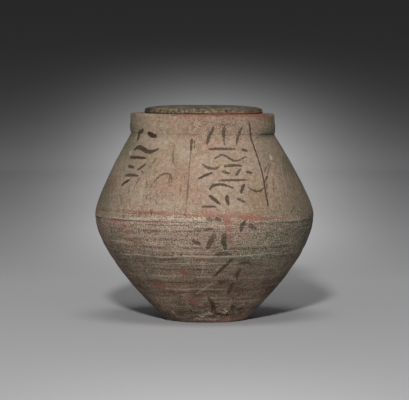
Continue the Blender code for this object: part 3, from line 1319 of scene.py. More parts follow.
    def built(self) -> bpy.types.Object:
        """Works out relief and wear and makes the jar's object.

        Returns:
            The object, which replaces the solid of the same name.
        """
        turned, named, crest = self.turned_marks()
        uneven = self.broad_relief * self.patches(1, 0.075)
        uneven = uneven + self.fine_relief * self.patches(2, 0.011)
        holes = Lattice(3).pits(self.spots, self.hole_size, self.hole_share)
        holes = holes * (0.45 + 0.40 * self.zone(-10, 140, 4))
        crumbs = self.worn(self.crumbled) * self.patches(4, 0.008)
        flakes = self.flakes()
        crust = self.crust(named)
        scratch, scratch_load = self.canvas.brushed(self.scratches, 6 * MM)
        cut = step(scratch, 0.6, -0.4) * scratch_load
        lumps = self.lime_height * crust * self.patches(5, 0.0035, 2)
        loose = self.crumb_relief * crumbs - self.scratch_depth * cut + lumps
        relief = turned + self.collar_fill() - flakes + (uneven - holes + loose) * MM
        points = self.form.settle(self.grid.points(relief * self.outer))

        # Painted shade in pits, chips, crumbled hollows, grooves and the open crease.
        hollow_shade = np.clip(holes + 0.6 * flakes / MM + 1.3 * np.clip(-crumbs, 0, 1), 0, 1)
        hollow_shade = np.maximum(hollow_shade, 0.40 * np.clip(-named, 0, 1))
        hollow_shade = np.maximum(hollow_shade, 0.80 * self.open_crease())
        chance = np.random.default_rng(7)
        strokes = [stroke for row in self.painting.rows for stroke in row.strokes(chance)]
        values = {name: self.worn(coat) for name, coat in vars(self.wear).items()}
        values |= {"crust": crust, "crest": crest, "hollow_shade": hollow_shade * self.outer}
        values["inside"] = (self.row >= self.last + self.rim_rows) | (self.row < self.first)
        rule, values["rule_half"], rule_load = self.canvas.ruled(self.painting.rules)
        for name, (distance, load) in {
            "ridge": self.nearest_line(1),
            "groove": self.nearest_line(-1),
            "hair": self.canvas.brushed(self.hairlines(), 5 * MM),
            "scratch": (scratch, scratch_load),
            "ink": self.canvas.brushed([*strokes, *self.painting.single], 9 * MM),
            "rule": (rule, rule_load),
            "red": self.red_paint(),
        }.items():
            values |= {name: distance, name + "_load": load}
        jar = self.grid.mesh_object("turned_jar", points, values)
        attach(jar, "root")
        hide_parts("jar")
        return jar


@dataclass
class Lid:
    """The loose disc lid: its grid, its rough edge and the wear that its finish reads."""

    form: JarForm = field(default_factory=JarForm)
    lap: float = 0.0060
    edge: float = 0.0064
    edge_rounding: float = 0.0020
    dome: float = 0.0043
    dome_power: float = 4.0
    boss_depth: float = 0.0090
    boss_chamfer: float = 0.0020
    boss_play: float = 0.0025
    seat_gap: float = 0.0003
    slide: float = 0.6
    columns: int = 420
    crowding: float = 0.35
    rough_relief: float = 0.42
    hole_depth: float = 0.85
    layer_relief: float = 0.26
    broad_relief: float = 0.30
    dent_depth: float = 0.5
    corner_wear: float = 1.1
    under_rows: int = 14
    edge_rows: int = 22
    dome_rows: int = 60

    @property
    def radius(self) -> float:
        """The lid's radius."""
        return self.form.mouth_radius + self.lap

    def section(self) -> Array:
        """The closed section from the middle of the boss outwards, with the rim's level as 0.

        The boss is flat with a chamfer, the edge turns up over an arc and rises straight, and the
        dome rises by 1 - (1 - t)^dome_power as its radius closes evenly.

        Returns:
            Rows of (radius, height).
        """
        boss = self.form.mouth_radius - self.boss_play
        turn = arc(self.radius - self.edge_rounding, self.edge_rounding, self.edge_rounding, -90, 0)
        low = [(0.0, -self.boss_depth), (boss - self.boss_chamfer, -self.boss_depth)]
        high = [(boss, self.boss_chamfer - self.boss_depth), (boss, 0.0)]
        share = np.linspace(0, 1, 200)
        level = self.edge + self.dome * bulge(share, self.dome_power)
        dome = np.column_stack((self.radius * (1 - share), level))
        side = dome[share <= 0.06]
        side = np.concatenate([turn, [(self.radius, self.edge)], side[1:]])
        under = resampled(np.array([*low, *high, turn[0]]), self.under_rows)[:-1]
        top = resampled(dome[share > 0.06], self.dome_rows)
        return np.concatenate([under, resampled(side, self.edge_rows), top])

    def laid(self, points: Array) -> Array:
        """Lays the lid on the settled rim, slid towards +X by part of the play round the boss.

        Args:
            points: places on the turned lid, with the rim's level as 0.

        Returns:
            The places on the jar.
        """
        middle = (self.form.rim_shift, 0.0, self.form.rim_level + self.seat_gap)
        tilt = Matrix.Rotation(math.atan(self.form.rim_fall), 4, "Y")
        lay = Matrix.Translation(middle) @ tilt
        lay = lay @ Matrix.Translation((self.slide * self.boss_play, 0.0, 0.0))
        return points @ np.array(lay.to_3x3()).T + np.array(lay.to_translation())

    def built(self) -> bpy.types.Object:
        """Works out relief and wear and makes the lid's object, laid on the settled rim.

        Returns:
            The object, which replaces the solid of the same name.
        """
        grid = TurnedGrid(self.section(), self.columns, self.crowding)
        spots, level, across = grid.points(), grid.level / MM, grid.across
        row = np.arange(len(grid.section))[:, None]
        edge_start, edge_end = self.under_rows, self.under_rows + self.edge_rows
        side = step(row, edge_start - 1, edge_start + 3) * step(row, edge_end + 5, edge_end - 1)
        above = step(row, edge_start + 1, edge_start + 5)
        top = above * (1 - side)
        front = step(np.cos(grid.angle), 0.0, 0.3)
        rough, holes = Lattice(41).fractal(spots, 0.006), Lattice(42).pits(spots, 0.006, 0.34)
        layers = Lattice(43).fractal(spots, (0.03, 0.03, 0.0022), 2)
        broad, few = Lattice(44).fractal(spots, 0.035, 2), Lattice(45).pits(spots, 0.012, 0.10)
        corner = bell(np.hypot(grid.radius - self.radius, grid.level - self.edge), 0.0028)
        corner = corner * (0.9 + 0.6 * Lattice(46).fractal(spots, 0.018))
        relief = self.rough_relief * rough - self.hole_depth * holes + self.layer_relief * layers
        relief = relief * side + self.broad_relief * broad * above
        relief = relief - self.dent_depth * few * top - self.corner_wear * np.clip(corner, 0, 2)
        worn_corner = 0.8 * np.clip(corner, 0, 1) * step(level, 5.2, 7.0)
        pitted = front * bell(across - 66, 8) * side
        values = {
            "rough_side": side,
            # painted shade in pits and dents on the side and top
            "hollow_shade": np.clip(holes * side + few * above + 0.35 * pitted, 0, 1),
            "tan": np.clip(0.5 + 0.5 * layers, 0, 1) * side,
            # painted shade at the left end of the side
            "shaded_end": front * step(across, -70, -74) * side,
            "orange": front * step(across, -10, 40) * step(level, 4.6, 1.4) * side,
            "worn_top": np.clip(top + worn_corner, 0, 1),
        }
        lid = grid.mesh_object("disc_lid", self.laid(grid.points(relief * MM)), values)
        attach(lid, "root")
        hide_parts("lid")
        return lid


class Value:
    """A node's output that can be reckoned with: each operation adds a node and gives its result."""

    def __init__(self, graph: "Graph", socket: bpy.types.NodeSocket) -> None:
        """Keeps the socket and the graph that it is in."""
        self.graph, self.socket = graph, socket

    def __add__(self, other: "Input") -> "Value":
        """The sum."""
        return self.graph.math("ADD", self, other)

    def __sub__(self, other: "Input") -> "Value":
        """The difference."""
        return self.graph.math("SUBTRACT", self, other)

    def __rsub__(self, other: float) -> "Value":
        """A number less this value."""
        return self.graph.math("SUBTRACT", other, self)

    def __mul__(self, other: "Input") -> "Value":
        """The product."""
        return self.graph.math("MULTIPLY", self, other)

    def __truediv__(self, other: "Input") -> "Value":
        """The quotient."""
        return self.graph.math("DIVIDE", self, other)

    def __abs__(self) -> "Value":
        """The value without its sign."""
        return self.graph.math("ABSOLUTE", self)

    def exponent(self) -> "Value":
        """e to the power of the value."""
        return self.graph.math("EXPONENT", self)

    def larger(self, other: "Input") -> "Value":
        """The larger of the two."""
        return self.graph.math("MAXIMUM", self, other)

    def step(self, low: "Input", high: "Input") -> "Value":
        """A soft step, which falls where low is above high.

        Args:
            low: where the step is 0.
            high: where it is 1.

        Returns:
            The step's value.
        """
        inputs = {"Value": self, "From Min": low, "From Max": high}
        smooth = "SMOOTHSTEP"
        return self.graph.value("ShaderNodeMapRange", "Result", inputs, interpolation_type=smooth)


Input = Value | float | tuple


class Graph:
    """A node tree being filled in. Inputs may be values, or plain numbers and colours."""

    def __init__(self, tree: bpy.types.NodeTree, material: bpy.types.Material | None = None) -> None:
        """Keeps the tree, and the material that it belongs to if there is one."""
        self.tree, self.material = tree, material

    def add(self, kind: str, inputs: dict[str | int, Input], **settings: object) -> bpy.types.Node:
        """Adds a node.

        Args:
            kind: the node's type.
            inputs: values by the input's name or number.
            settings: the node's own settings.

        Returns:
            The node.
        """
        node = self.tree.nodes.new(kind)
        for name, setting in settings.items():
            setattr(node, name, setting)
        for key, value in inputs.items():
            if isinstance(value, Value):
                self.tree.links.new(value.socket, node.inputs[key])
            else:
                node.inputs[key].default_value = value
        return node

    def value(self, kind: str, output: str | int, inputs: dict, **settings: object) -> Value:
        """Adds a node and gives one of its outputs."""
        return Value(self, self.add(kind, inputs, **settings).outputs[output])

    def math(self, operation: str, first: Input, second: Input = 0.0) -> Value:
        """The result of a Math node."""
        return self.value("ShaderNodeMath", 0, {0: first, 1: second}, operation=operation)

    def vector(self, operation: str, output: str, place: Value, other: Input) -> Value:
        """An output of a Vector Math node."""
        return self.value("ShaderNodeVectorMath", output, {0: place, 1: other}, operation=operation)

    def mix(self, share: Input, first: Input, second: Input, blending: str = "MIX") -> Value:
        """Mixes two colours.

        Args:
            share: how much of the second shows, from 0 to 1.
            first, second: the colours.
            blending: how the second is blended in.

        Returns:
            The mixed colour.
        """
        first, second = ((*c, 1.0) if isinstance(c, tuple) else c for c in (first, second))
        inputs = {0: share, 6: first, 7: second}
        return self.value("ShaderNodeMix", 2, inputs, data_type="RGBA", blend_type=blending)

    def layered(self, colour: Value, *layers: tuple[Input, Input]) -> Value:
        """Lays other colours over a colour one by one.

        Args:
            colour: the lowest.
            layers: a share and a colour for each.

        Returns:
            The colour on top.
        """
        for share, other in layers:
            colour = self.mix(share, colour, other)
        return colour

    def noise(self, place: Value, scale: Input, detail: float, roughness: float) -> Value:
        """A noise texture's value, about 0.5 on average."""
        inputs = {"Vector": place, "Scale": scale, "Detail": detail, "Roughness": roughness}
        return self.value("ShaderNodeTexNoise", "Fac", inputs)

    def read(self, name: str) -> Value:
        """A number stored on the mesh."""
        return self.value("ShaderNodeAttribute", "Fac", {}, attribute_name=name)

    def effect(self, group: bpy.types.NodeTree, **inputs: Input) -> dict[str, Value]:
        """Places a shared effect with its own values.

        Args:
            group: the effect.
            inputs: values by the effect's input names.

        Returns:
            Its results by name.
        """
        node = self.add("ShaderNodeGroup", inputs, node_tree=group)
        return {socket.name: Value(self, socket) for socket in node.outputs}


class Effects:
    """The shared effects, each a node group that is built once and placed with its own values."""

    def __init__(self) -> None:
        """Builds the groups."""
        self.grain = self.built_grain()
        self.streaks = self.built_streaks()
        self.patches = self.built_patches()
        self.brushed = self.built_brushed()

    @staticmethod
    def opened(name: str, *inputs: str) -> tuple[Graph, list[Value]]:
        """Starts a group. Its input Place is a vector, and all others are numbers.

        Args:
            name: the group's name.
            inputs: the names of its inputs.

        Returns:
            Its graph, and its inputs.
        """
        graph = Graph(bpy.data.node_groups.new(name, "ShaderNodeTree"))
        for socket in inputs:
            kind = "NodeSocketVector" if socket == "Place" else "NodeSocketFloat"
            graph.tree.interface.new_socket(name=socket, in_out="INPUT", socket_type=kind)
        start = graph.tree.nodes.new("NodeGroupInput")
        return graph, [Value(graph, start.outputs[socket]) for socket in inputs]

    @staticmethod
    def closed(graph: Graph, **outputs: Value) -> bpy.types.NodeTree:
        """Ends a group.

        Args:
            graph: the group's graph.
            outputs: its results by name, all of them numbers.

        Returns:
            The group.
        """
        for name in outputs:
            graph.tree.interface.new_socket(name=name, in_out="OUTPUT", socket_type="NodeSocketFloat")
        graph.add("NodeGroupOutput", outputs)
        return graph.tree

    def built_grain(self) -> bpy.types.NodeTree:
        """Coarse clay: a mottled tone, light sand grains, dark pits, and the height of it all.

        Returns:
            The group. Sand and pits are soft balls in hashed cells drawn by their colour.
        """
        graph, (place, scale) = self.opened("clay_grain", "Place", "Scale")
        tone = graph.noise(place, scale, 4.0, 0.7)
        cell = graph.add("ShaderNodeTexVoronoi", {"Vector": place, "Scale": scale}).outputs
        colour, distance = Value(graph, cell["Color"]), Value(graph, cell["Distance"])
        draw = graph.value("ShaderNodeSeparateColor", 0, {0: colour})
        light = distance.step(0.42, 0.20) * draw.step(0.70, 0.80)
        dark = distance.step(0.45, 0.20) * draw.step(0.22, 0.14)
        return self.closed(graph, Tone=tone, Light=light, Dark=dark, Height=tone + light * 0.3 - dark)

    def built_streaks(self) -> bpy.types.NodeTree:
        """Level streaks from turning: noise stretched round the jar, wavering a little.

        Returns:
            The group.
        """
        graph, (place, fineness) = self.opened("turning_streaks", "Place", "Fineness")
        waver = graph.noise(place, 14.0, 2.0, 0.5) * 0.012
        lift = graph.value("ShaderNodeCombineXYZ", 0, {2: waver})
        moved = graph.vector("ADD", "Vector", place, lift)
        flat = graph.vector("MULTIPLY", "Vector", moved, (0.08, 0.08, 1.0))
        tone = graph.noise(flat, fineness, 3.0, 0.62)
        return self.closed(graph, Tone=tone.step(0.30, 0.70), Height=tone)

    def built_patches(self) -> bpy.types.NodeTree:
        """Stains and worn places: fractal noise cut between two levels."""
        graph, (place, scale, low, high) = self.opened("worn_patches", "Place", "Scale", "Low", "High")
        return self.closed(graph, Mask=graph.noise(place, scale, 6.0, 0.62).step(low, high))

    def masks(self, graph: Graph, place: Value, cuts: Cuts) -> list[Value]:
        """Places the worn patches several times in a material.

        Args:
            graph: the material's graph.
            place: the Object coordinates.
            cuts: the noise's scale and the two levels of its cut, for each.

        Returns:
            Their masks.
        """
        return [
            graph.effect(self.patches, Place=place, Scale=scale, Low=low, High=high)["Mask"]
            for scale, low, high in cuts
        ]

    def built_brushed(self) -> bpy.types.NodeTree:
        """Dry brushwork: a ragged edge where the distance passes 0, and gaps where the load is low.

        Returns:
            The group.
        """
        names = ("Place", "Distance", "Load", "Ragged")
        graph, (place, distance, load, ragged) = self.opened("dry_brush", *names)
        edge = distance + (graph.noise(place, 330.0, 4.0, 0.7) - 0.5) * ragged
        limit = 0.72 - load * 0.50
        gaps = graph.noise(place, 260.0, 4.0, 0.75).step(limit - 0.09, limit + 0.07)
        return self.closed(graph, Mask=edge.step(0.45, -0.45) * gaps * (load * 0.60 + 0.40))


@dataclass(frozen=True)
class Surface:
    """A shader's own numbers: its roughness, its specular level, and its bump's depth in metres."""

    roughness: float
    specular: float
    relief: float


def opened_material(name: str) -> tuple[Graph, Value]:
    """Starts a material.

    Args:
        name: the material's name.

    Returns:
        Its empty graph, and the Object coordinates.
    """
    material = bpy.data.materials.new(name)
    material.use_nodes = True
    material.node_tree.nodes.clear()
    graph = Graph(material.node_tree, material)
    return graph, graph.value("ShaderNodeTexCoord", "Object", {})


def finished(
    graph: Graph, colour: Value, height: Value, surface: Surface, glow: Value | None = None
) -> bpy.types.Material:
    """Ends a material's graph with its shader.

    Args:
        graph: the material's graph.
        colour: the finished colour.
        height: the height that the bump reads.
        surface: the shader's own numbers.
        glow: the light that it gives off, if any.

    Returns:
        The material.
    """
    bump = {"Height": height, "Strength": 1.0, "Distance": surface.relief}
    inputs = {
        "Base Color": colour,
        "Roughness": surface.roughness,
        "Specular IOR Level": surface.specular,
        "Normal": graph.value("ShaderNodeBump", "Normal", bump),
    }
    if glow is not None:
        inputs |= {"Emission Color": glow, "Emission Strength": 1.0}
    shader = graph.value("ShaderNodeBsdfPrincipled", 0, inputs)
    graph.add("ShaderNodeOutputMaterial", {"Surface": shader})
    return graph.material


@dataclass(frozen=True)
class JarFinish:
    """Worn cream slip with pink patches over brown clay, with dirt, a darkening film, crust, red paint
    and dark ink, and painted shade and highlight on the turning and in hollows.
    """

    clay: Colour = (0.165, 0.112, 0.077)
    clay_light: Colour = (0.250, 0.188, 0.138)
    slip_worn: Colour = (0.255, 0.168, 0.112)
    slip_cream: Colour = (0.406, 0.305, 0.221)
    slip_pale: Colour = (0.500, 0.402, 0.300)
    slip_pink: Colour = (0.357, 0.212, 0.147)
    slip_ochre: Colour = (0.330, 0.232, 0.140)
    olive: Colour = (0.152, 0.145, 0.099)
    # dark brown of dirt, also used for painted shade in the turning's valleys
    soil_and_shade: Colour = (0.086, 0.060, 0.042)
    crust: Colour = (0.590, 0.482, 0.375)
    rust: Colour = (0.290, 0.140, 0.075)
    red: Colour = (0.282, 0.076, 0.055)
    ink: Colour = (0.050, 0.032, 0.021)
    # the dark of painted shade in hollows and grooves, also used for dark specks and cracks
    pit: Colour = (0.050, 0.036, 0.026)
    film: Colour = (0.660, 0.655, 0.660)
    cool_film: Colour = (0.930, 1.000, 0.952)
    warm_film: Colour = (1.000, 0.930, 0.945)
    grain_scale: float = 430.0
    grit_scale: float = 210.0
    streak_fineness: float = 680.0
    band_fineness: float = 210.0
    patch_cuts: Cuts = ((26.0, 0.36, 0.66), (85.0, 0.38, 0.64), (190.0, 0.42, 0.58))
    surface: Surface = Surface(0.93, 0.22, 0.00055)

    def material(self, effects: Effects) -> bpy.types.Material:
        """Builds the jar's material.

        Clay, slip, stains, paint and crust are laid over each other in the order in which they came
        onto the real jar, each by a mask from the mesh's attributes broken up by noise. Painted shade
        in hollows, grooves, valleys and towards the sides, and painted highlight on ridges and crests,
        are laid in among them.

        Args:
            effects: the shared effects.

        Returns:
            The material.
        """
        graph, place = opened_material("worn_painted_slip")
        read = graph.read
        grain = graph.effect(effects.grain, Place=place, Scale=self.grain_scale)
        grit = graph.effect(effects.grain, Place=place, Scale=self.grit_scale)
        streaks = graph.effect(effects.streaks, Place=place, Fineness=self.streak_fineness)
        bands = graph.effect(effects.streaks, Place=place, Fineness=self.band_fineness)
        patches = effects.masks(graph, place, self.patch_cuts)
        mottle, small, _ = patches
        ground = self.ground(graph, grain["Tone"], grit["Tone"], bands["Tone"], patches)
        ground = self.turned(graph, ground, streaks["Tone"])
        ground, paint = self.painted(graph, ground, place, effects)

        bare = 1.0 - paint * 0.70
        # dirt, with painted shade towards both sides
        soil_and_shade = read("soil_and_shade") * mottle.step(1.6, -0.6) * grit["Tone"].step(0.78, 0.26) * bare
        rust = read("rust") * grit["Tone"].step(0.25, 0.60)
        specks = grain["Dark"] * mottle.step(-0.4, 1.3)
        hair = read("hair").step(0.45, -0.35) * read("hair_load")
        scratch = read("scratch").step(0.5, -0.4) * read("scratch_load")
        lime, gritty = read("crust"), read("gritty")
        fine = graph.noise(place, 640.0, 1.5, 0.6)
        dull = fine.step(0.48, 0.34) * (gritty * bare)
        sparse = 0.662 - lime * 0.10 - small * 0.055
        flecks = fine.step(sparse - 0.06, sparse + 0.04) * (gritty * 0.90 + 0.10) * bare
        colour = graph.layered(
            ground,
            (soil_and_shade, self.soil_and_shade),
            # painted shade in pits, chips, crumbled hollows, grooves and the open crease
            (read("hollow_shade") * 0.72, self.pit),
            (rust, self.rust),
            (specks * 0.58, self.pit),
            (hair, self.pit),
            (scratch, self.crust),
            (lime * 0.20, self.crust),
            (dull * 0.88, self.soil_and_shade),
            (flecks, self.crust),
        )
        colour = self.scored(graph, colour, fine, bare)

        streaked = read("streaked")
        lean = graph.noise(place, 46.0, 5.0, 0.62) + rust * 0.20 - read("olive") * 0.15
        tint = graph.mix(lean.step(0.34, 0.60), self.cool_film, self.warm_film)
        colour = graph.mix(streaked.step(-0.2, 0.6), colour, tint, "MULTIPLY")
        # a grey film, heavier below the belt and at the collar, with painted shade on the right side
        colour = graph.mix(read("darkening_film"), colour, self.film, "MULTIPLY")
        colour = graph.mix(read("inside"), colour, self.clay_light)
        height = grain["Height"] + flecks * 0.7 + streaks["Height"] * (streaked * 0.9 + 0.5)
        return finished(graph, colour, height, self.surface)

    def ground(
        self, graph: Graph, grain: Value, grit: Value, bands: Value, patches: Sequence[Value]
    ) -> Value:
        """The clay, the slip over it in its pink, yellowish and pale patches, and the olive stain.

        Args:
            graph: the material's graph.
            grain, grit: the tones of clay grains, fine and coarse.
            bands: the tone of broad streaks.
            patches: three masks, from large to small patches.

        Returns:
            The colour.
        """
        mottle, small, flaky = patches
        clay = graph.mix(mottle, self.clay, self.clay_light)
        clay = graph.mix(bands * 0.30, clay, self.soil_and_shade)
        pink = (graph.read("blush") + small * 0.28).step(0.05, 1.00)
        slip = graph.layered(
            graph.mix(pink, self.slip_cream, self.slip_pink),
            ((graph.read("ochre") + small * 0.15).step(0.10, 1.00), self.slip_ochre),
            (grain.step(0.54, 0.72) * 0.55, self.slip_pale),
            (grit.step(0.50, 0.30) * 0.50, self.slip_worn),
            (flaky * small.step(-0.3, 1.0) * 0.42, self.slip_worn),
            (flaky.step(0.30, 0.0) * 0.32, self.slip_pale),
        )
        cover = graph.read("slip") + small * 0.24 - bands * 0.26
        olive = graph.read("olive") * mottle.step(-0.9, 1.2)
        return graph.layered(clay, (cover.step(0.06, 0.62), slip), (olive, self.olive))

    def turned(self, graph: Graph, colour: Value, streaks: Value) -> Value:
        """The turning's traces: dark and light fine lines, painted shade in the valleys and painted
        highlight on the crests.

        Args:
            graph: the material's graph.
            colour: what lies under them.
            streaks: the tone of fine streaks.

        Returns:
            The colour.
        """
        streaked, crest = graph.read("streaked"), graph.read("crest")
        return graph.layered(
            colour,
            (streaks.step(0.42, 0.10) * streaked * 0.50, self.soil_and_shade),
            (streaks.step(0.60, 0.90) * streaked * 0.34, self.crust),
            (crest.step(-0.10, -0.80) * streaked * 0.24, self.soil_and_shade),
            (crest.step(0.20, 0.90) * streaked * 0.20, self.crust),
        )

    def scored(self, graph: Graph, colour: Value, fine: Value, bare: Value) -> Value:
        """The turning lines: painted shade in the grooves, and lime with painted highlight on the
        ridges, broken up by single grains.

        Args:
            graph: the material's graph.
            colour: what lies under them.
            fine: noise the size of sand grains.
            bare: 1 where no paint lies, less where it does.

        Returns:
            The colour.
        """
        groove, ridge = abs(graph.read("groove")), abs(graph.read("ridge"))
        dark = groove.step(0.85, 0.25) * graph.read("groove_load") * fine.step(1.05, 0.30)
        light = ridge.step(0.80, 0.20) * graph.read("ridge_load") * fine.step(0.16, 0.46)
        return graph.layered(colour, (dark * 0.80, self.pit), (light * bare, self.crust))

    def painted(
        self, graph: Graph, colour: Value, place: Value, effects: Effects
    ) -> tuple[Value, Value]:
        """The red paint, and the dark ink of the brush marks and the ruled lines.

        Args:
            graph: the material's graph.
            colour: what lies under them.
            place: the Object coordinates.
            effects: the shared effects.

        Returns:
            The colour, and how much paint lies at a place.
        """
        load = graph.read("rule_load")
        off = abs(graph.read("rule")) - graph.read("rule_half")
        red, ink, rule = (
            graph.effect(effects.brushed, Place=place, Distance=far, Load=held, Ragged=ragged)["Mask"]
            for far, held, ragged in (
                (graph.read("red"), graph.read("red_load"), 4.2),
                (graph.read("ink"), graph.read("ink_load"), 4.4),
                (off, load, 2.6),
            )
        )
        ink = ink.larger(rule * load.step(0.0, 0.30))
        return graph.layered(colour, (red * 0.74, self.red), (ink, self.ink)), ink.larger(red)


@dataclass(frozen=True)
class LidFinish:
    """Coarse brown clay with tan grains under a worn grey-green top, with painted shade in the pits at
    the edge and at the side's left end.
    """

    side: Colour = (0.096, 0.069, 0.043)
    side_tan: Colour = (0.330, 0.254, 0.166)
    top: Colour = (0.082, 0.077, 0.055)
    top_light: Colour = (0.204, 0.190, 0.143)
    top_worn: Colour = (0.158, 0.124, 0.084)
    orange: Colour = (0.300, 0.150, 0.070)
    # painted shade at the left end of the lid's side
    shaded_end: Colour = (0.060, 0.042, 0.042)
    # the dark of painted shade in pits
    pit: Colour = (0.030, 0.023, 0.017)
    grain_scale: float = 420.0
    grit_scale: float = 260.0
    streak_fineness: float = 520.0
    patch_cuts: Cuts = ((72.0, 0.42, 0.60), (34.0, 0.48, 0.66))
    surface: Surface = Surface(0.93, 0.22, 0.0006)

    def material(self, effects: Effects) -> bpy.types.Material:
        """Builds the lid's material.

        Args:
            effects: the shared effects.

        Returns:
            The material.
        """
        graph, place = opened_material("coarse_lid_clay")
        read = graph.read
        grain = graph.effect(effects.grain, Place=place, Scale=self.grain_scale)
        grit = graph.effect(effects.grain, Place=place, Scale=self.grit_scale)
        streaks = graph.effect(effects.streaks, Place=place, Fineness=self.streak_fineness)
        mottle, worn = effects.masks(graph, place, self.patch_cuts)
        tan = (grit["Tone"] + read("tan") * 0.16).step(0.52, 0.67)
        side = graph.layered(
            graph.mix(tan, self.side, self.side_tan),
            (streaks["Tone"] * 0.30, self.pit),
            (read("orange") * 0.60, self.orange),
        )
        pale = graph.mix(0.26, mottle, grit["Tone"].step(0.36, 0.64))
        top = graph.mix(pale, self.top, self.top_light)
        top = graph.mix(worn * 0.45, top, self.top_worn)
        colour = graph.layered(
            side,
            (read("worn_top"), top),
            # painted shade at the side's left end
            (read("shaded_end") * 0.85, self.shaded_end),
            # painted shade in pits and dents
            (read("hollow_shade") * 0.9, self.pit),
            (grit["Dark"] * (read("rough_side") * 0.43 + 0.42), self.pit),
            (grain["Light"] * 0.42, self.side_tan),
        )
        return finished(graph, colour, grain["Height"] + grit["Height"], self.surface)


@dataclass(frozen=True)
class Lamp:
    """A soft area light, placed by its bearing from the jar's middle.

    Bearing is the angle to the left of the camera's side and height the angle above level, in
    degrees. Away and size are in metres, and power is in watts.
    """

    name: str
    bearing: float
    height: float
    away: float
    size: float
    power: float

    def built(self, target: Vector) -> None:
        """Adds the light.

        Args:
            target: the place that it points at.
        """
        bearing, height = math.radians(self.bearing), math.radians(self.height)
        flat = math.cos(height)
        back = Vector((-math.sin(bearing) * flat, -math.cos(bearing) * flat, math.sin(height)))
        data = bpy.data.lights.new(self.name, "AREA")
        data.shape = "DISK"
        data.size = self.size
        data.energy = self.power
        lamp = in_scene(self.name, data)
        lamp.location = target + back * self.away
        lamp.rotation_euler = (-back).to_track_quat("-Z", "Y").to_euler()


@dataclass(frozen=True)
class PaperFinish:
    """Pale grey paper with painted light: darker near the camera, a glowing pool of painted light
    further off, and painted shade fading into a dark backdrop above.
    """

    # near is painted shade close to the camera, dark is painted shade high on the backdrop
    near: Colour = (0.365, 0.365, 0.369)
    pale: Colour = (0.74, 0.74, 0.747)
    far: Colour = (0.90, 0.90, 0.909)
    dark: Colour = (0.112, 0.112, 0.113)
    # painted pool of light given off by the paper
    glow: Colour = (0.420, 0.420, 0.424)
    near_at: float = -1.0
    pale_at: float = 0.60
    far_at: float = 2.60
    darkens_over: float = 0.113
    glow_from: float = 0.25
    glow_full: float = 2.1
    glow_top: float = 0.50
    glow_middle: float = 0.012
    glow_widths: Point = (0.25, 0.355)
    glow_widens: Point = (1.2, 4.5)
    surface: Surface = Surface(0.9, 0.1, 0.0001)

    def material(self) -> bpy.types.Material:
        """Builds the paper's material.

        Light and shade are painted into it. Its tone rises evenly from near_at to pale_at along Y, on
        to far_at by a soft step, and falls with height by exp(-z / darkens_over), as painted shade.
        Its glow, a painted pool of light, grows with distance, fades with height, and falls off to
        both sides by exp(-u^2), where u is (x - glow_middle) over a width that grows with distance.

        Returns:
            The material.
        """
        graph, place = opened_material("pale_paper")
        sockets = graph.add("ShaderNodeSeparateXYZ", {0: place}).outputs
        across, back, height = (Value(graph, socket) for socket in sockets)
        away = graph.vector("LENGTH", "Value", place, (0.0, 0.0, 0.0))
        # painted shade and light: darker near the camera, brighter further off
        rise = (back - self.near_at) / (self.pale_at - self.near_at)
        colour = graph.mix(rise, self.near, self.pale)
        colour = graph.mix(back.step(self.pale_at, self.far_at), colour, self.far)
        # painted shade: the paper darkens with height into the dark backdrop
        colour = graph.mix((height / -self.darkens_over).exponent(), self.dark, colour)

        # painted pool of light behind the jar
        narrow, wide = self.glow_widths
        width = away.step(*self.glow_widens) * (wide - narrow) + narrow
        aside = (across - self.glow_middle) / width
        share = (aside * aside * -1.0).exponent() * away.step(self.glow_from, self.glow_full)
        up = height.step(self.glow_top, 0.0)
        glow = graph.mix(share * (up * up), (0.0, 0.0, 0.0), self.glow)
        return finished(graph, colour, graph.noise(place, 60.0, 2.0, 0.5), self.surface, glow)


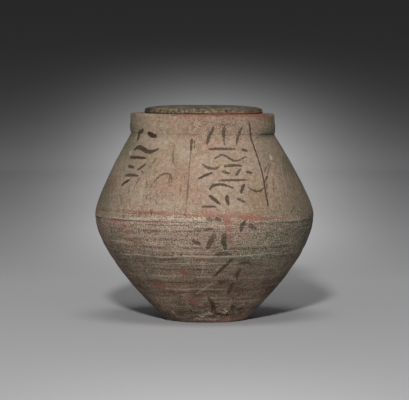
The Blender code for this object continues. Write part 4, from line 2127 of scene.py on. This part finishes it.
@dataclass
class Studio:
    """A plain pale floor that turns up into a round backdrop, soft lights and the camera."""

    paper: PaperFinish = field(default_factory=PaperFinish)
    floor_radius: float = 4.8
    backdrop_radius: float = 7.0
    backdrop_height: float = 1.6
    world_grey: Colour = (0.30, 0.30, 0.31)
    world_strength: float = 0.28
    target: tuple[float, float, float] = (0.0, 0.0, 0.16)
    lamps: tuple[Lamp, ...] = each(
        Lamp,
        ("key_lamp", 3.6, 20.5, 3.0, 0.21, 66.0),
        ("top_lamp", 0.0, 66.0, 2.4, 1.20, 13.0),
    )
    camera_place: tuple[float, float, float] = (-0.0023, -3.570, 0.354)
    camera_pitch: float = 3.045
    lens: float = 228.85
    sensor: float = 36.0

    def floor(self) -> bpy.types.Object:
        """The floor and backdrop: a disc whose edge rises by half a cosine wave.

        Level = backdrop_height * (1 - cos(pi t)) / 2, with t the share of the way from floor_radius
        to backdrop_radius.

        Returns:
            The object.
        """
        rise = np.linspace(self.floor_radius, self.backdrop_radius, 30)[1:]
        radius = np.concatenate([np.linspace(0.02, self.floor_radius, 12), rise])
        share = (radius - self.floor_radius) / (self.backdrop_radius - self.floor_radius)
        level = self.backdrop_height * (0.5 - 0.5 * np.cos(np.pi * np.clip(share, 0, 1)))
        angle = np.linspace(0, math.tau, 97)[:-1]
        ring = np.column_stack((np.cos(angle), np.sin(angle), np.zeros_like(angle)))
        points = ring * radius[:, None, None]
        points[..., 2] = level[:, None]
        index = np.arange(points[..., 0].size).reshape(points.shape[:2])
        right = np.roll(index, -1, axis=1)
        quads = np.stack([index[:-1], index[1:], right[1:], right[:-1]], axis=-1).reshape(-1, 4)
        mesh = bpy.data.meshes.new("studio_floor")
        mesh.from_pydata(points.reshape(-1, 3).tolist(), [], quads.tolist() + [index[0].tolist()])
        mesh.shade_smooth()
        mesh.materials.append(self.paper.material())
        floor = in_scene("studio_floor", mesh)
        return floor

    def camera(self) -> None:
        """Adds the camera at the photograph's viewing angle."""
        data = bpy.data.cameras.new("photo_camera")
        data.lens = self.lens
        data.sensor_width = self.sensor
        camera = in_scene("photo_camera", data)
        camera.location = self.camera_place
        camera.rotation_euler = (math.radians(90 - self.camera_pitch), 0.0, 0.0)
        bpy.context.scene.camera = camera

    def light(self) -> None:
        """Adds the lamps and an even dim world."""
        for lamp in self.lamps:
            lamp.built(Vector(self.target))
        world = bpy.data.worlds.new("studio_world")
        world.use_nodes = True
        background = world.node_tree.nodes["Background"]
        background.inputs["Color"].default_value = (*self.world_grey, 1.0)
        background.inputs["Strength"].default_value = self.world_strength
        bpy.context.scene.world = world
        bpy.context.scene.view_settings.view_transform = "Standard"


def main() -> None:
    """Builds the jar, the lid and the studio."""
    logging.basicConfig(level=logging.INFO, format="%(name)s: %(message)s")
    effects = Effects()
    for piece, finish in ((Jar(), JarFinish()), (Lid(), LidFinish())):
        made = piece.built()
        made.data.materials.append(finish.material(effects))
        LOG.info("%s: %d faces", made.name, len(made.data.polygons))
    studio = Studio()
    studio.floor()
    studio.camera()
    studio.light()


if __name__ == "__main__":
    main()
